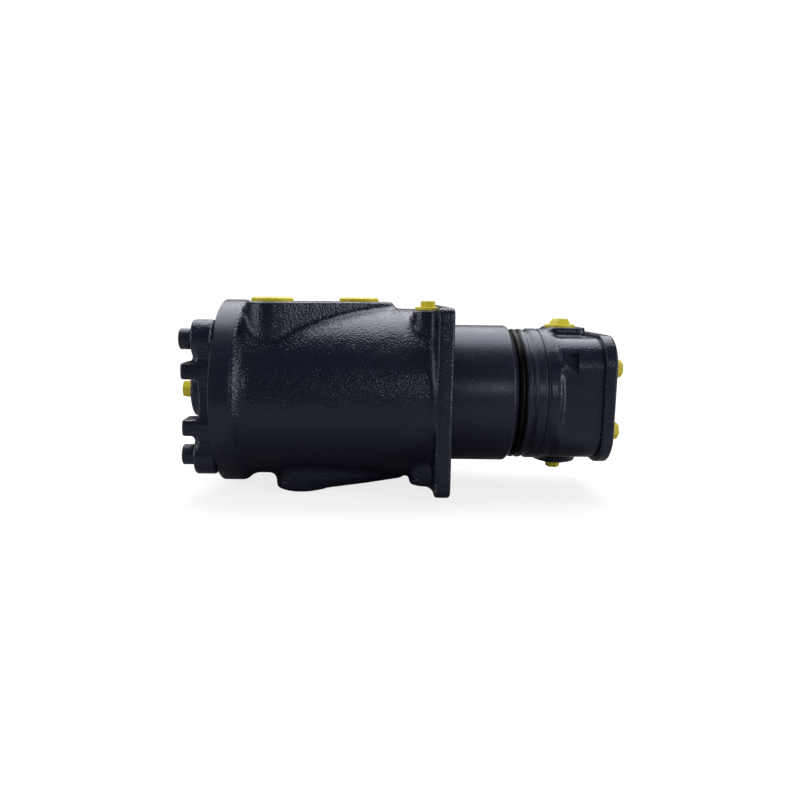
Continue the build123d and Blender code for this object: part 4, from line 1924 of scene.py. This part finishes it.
@dataclass
class Studio:
    """Camera, soft lights and a pale floor."""

    aim: Point3 = (-67.0, 0.0, 0.0)
    stand_off: float = 620.0
    height: float = 92.0
    roll: float = 0.7
    lens: float = 29.66
    sensor: float = 36.0
    shift: tuple[float, float] = (0.034, -0.0113)
    clip: Span = (0.01, 50.0)
    lamps: tuple[Lamp, ...] = (
        Lamp("key", (-60, 440, 800), (1.3, 1.0), 13.0),
        Lamp("left", (-900, -300, 250), (0.5, 0.8), 2.0),
        Lamp("right", (850, -420, 200), (0.4, 0.8), 3.0),
        Lamp("window", (350, -1500, 420), (0.28, 0.07), 1.1),
    )
    floor_half: float = 14.0
    floor_grey: float = 0.40
    floor_rough: float = 0.8
    floor_specular: float = 0.1
    # Painted light on the floor: a glow that only the camera sees, dimmer near the union and rising
    # further out
    glow_near: float = 0.80
    glow_rise: float = 0.20
    glow_range: Span = (0.2, 1.2)
    sky_light: float = 0.09
    sky_seen: float = 0.91

    def camera(self) -> None:
        """Sets the camera beside the union, a little above its axis."""
        data = bpy.data.cameras.new("camera")
        data.lens = self.lens
        data.sensor_width = self.sensor
        data.shift_x, data.shift_y = self.shift
        data.clip_start, data.clip_end = self.clip
        camera = bpy.data.objects.new("camera", data)
        bpy.context.scene.collection.objects.link(camera)
        place = Vector((self.aim[0], -self.stand_off, self.height)) * MM
        camera.location = place
        look = (Vector(self.aim) * MM - place).to_track_quat("-Z", "Y").to_matrix()
        tilt = Matrix.Rotation(math.radians(self.roll), 3, "Z")
        camera.rotation_euler = (look @ tilt).to_euler()
        bpy.context.scene.camera = camera

    def floor_finish(self) -> bpy.types.Material:
        """Makes the floor's grey, which the camera sees as near white through a painted glow that is
        dimmer round the union and brighter further out.

        Returns:
            The material.
        """
        material = bpy.data.materials.new("pale floor")
        material.use_nodes = True
        graph = Graph(material.node_tree)
        shader = material.node_tree.nodes["Principled BSDF"]
        grey = self.floor_grey
        shader.inputs["Base Color"].default_value = (grey, grey, grey, 1)
        shader.inputs["Roughness"].default_value = self.floor_rough
        shader.inputs["Specular IOR Level"].default_value = self.floor_specular
        shader.inputs["Emission Color"].default_value = (1, 1, 1, 1)
        seen = graph.node("ShaderNodeLightPath").outputs["Is Camera Ray"]
        place = graph.node("ShaderNodeTexCoord").outputs["Object"]
        reach = graph.node("ShaderNodeVectorMath", operation="LENGTH")
        graph.link(place, reach.inputs[0])
        # Painted light: the camera-only glow rises with distance from the union, painting the floor
        # darker round the union and whiter further out
        rise = graph.times(graph.ramp(reach.outputs["Value"], *self.glow_range), self.glow_rise)
        glow = graph.times(seen, graph.plus(rise, self.glow_near))
        graph.link(glow, shader.inputs["Emission Strength"])
        return material

    def floor(self, level: float) -> None:
        """Lays the pale floor.

        Args:
            level: its height in metres.
        """
        bm = bmesh.new()
        bmesh.ops.create_grid(bm, x_segments=1, y_segments=1, size=self.floor_half)
        bmesh.ops.translate(bm, verts=bm.verts, vec=(0, 0, level))
        floor = make_object("floor", bm)
        dress(floor, self.floor_finish())
        floor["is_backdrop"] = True

    def world(self) -> None:
        """Surrounds the union with a white backdrop that lights it softly."""
        world = bpy.data.worlds.new("studio")
        bpy.context.scene.world = world
        world.use_nodes = True
        graph = Graph(world.node_tree)
        back = world.node_tree.nodes["Background"]
        back.inputs["Color"].default_value = (1, 1, 1, 1)
        path = graph.node("ShaderNodeLightPath")
        seen = graph.times(path.outputs["Is Camera Ray"], self.sky_seen)
        graph.link(graph.plus(seen, self.sky_light), back.inputs["Strength"])

    def build(self, level: float) -> None:
        """Builds the whole stage.

        Args:
            level: height of the floor in metres.
        """
        self.camera()
        self.floor(level)
        self.world()
        for lamp in self.lamps:
            lamp.build()
        bpy.context.scene.view_settings.view_transform = "Standard"


def transport_caps() -> list[TransportCap]:
    """Lists the caps of every port.

    Returns:
        The caps, those of the stator first.
    """
    stator, rotor, x, reach = Body.STATOR, Body.ROTOR, HEAD_PORT_X, HEAD_REACH
    hub_top, end_y, end_z = -234.0, -35.0, 28.0
    return [
        TransportCap("top_rear_cap", stator, REAR_PORT, UP, WIDE_CAP),
        TransportCap("top_front_cap", stator, FRONT_PORT, UP, WIDE_CAP),
        TransportCap("side_cap", stator, SIDE_PORT, FAR, WIDE_CAP),
        TransportCap("top_small_cap", stator, SMALL_PORT, UP, SMALL_CAP),
        TransportCap("cover_cap", stator, (hub_top, 0, 0), LEFT, PILOT_CAP),
        TransportCap("head_top_cap", rotor, (x, 0, reach), UP, DOME_CAP, turn=8.0),
        TransportCap("head_bottom_cap", rotor, (x, 0, -reach), DOWN, SMALL_CAP),
        TransportCap("head_side_cap", rotor, (x, reach, 0), FAR, DOME_CAP),
        TransportCap("end_upper_cap", rotor, (HEAD_END, end_y, end_z), RIGHT, END_CAP, turn=20.0),
        TransportCap("end_lower_cap", rotor, (HEAD_END, end_y, -end_z), RIGHT, END_CAP),
    ]


def main() -> None:
    """Builds the union and its stage."""
    logging.basicConfig(level=logging.INFO, format="%(message)s")
    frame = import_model()
    cad_box = [list(corner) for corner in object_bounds()]
    finishes = Finishes.build()
    Studio().build(cad_box[0][2])
    HousingCasting().build(finishes)
    CoverRing().build(finishes)
    HousingNeck().build(finishes)
    EndCover().build(finishes)
    CoverScrews().build(finishes)
    SpindleHead().build(finishes)
    SpindleCollar().build(finishes)
    DustSeal().build(finishes)
    for cap in transport_caps():
        cap.build(finishes)
    InnerParts().build(frame, finishes)


if __name__ == "__main__":
    main()
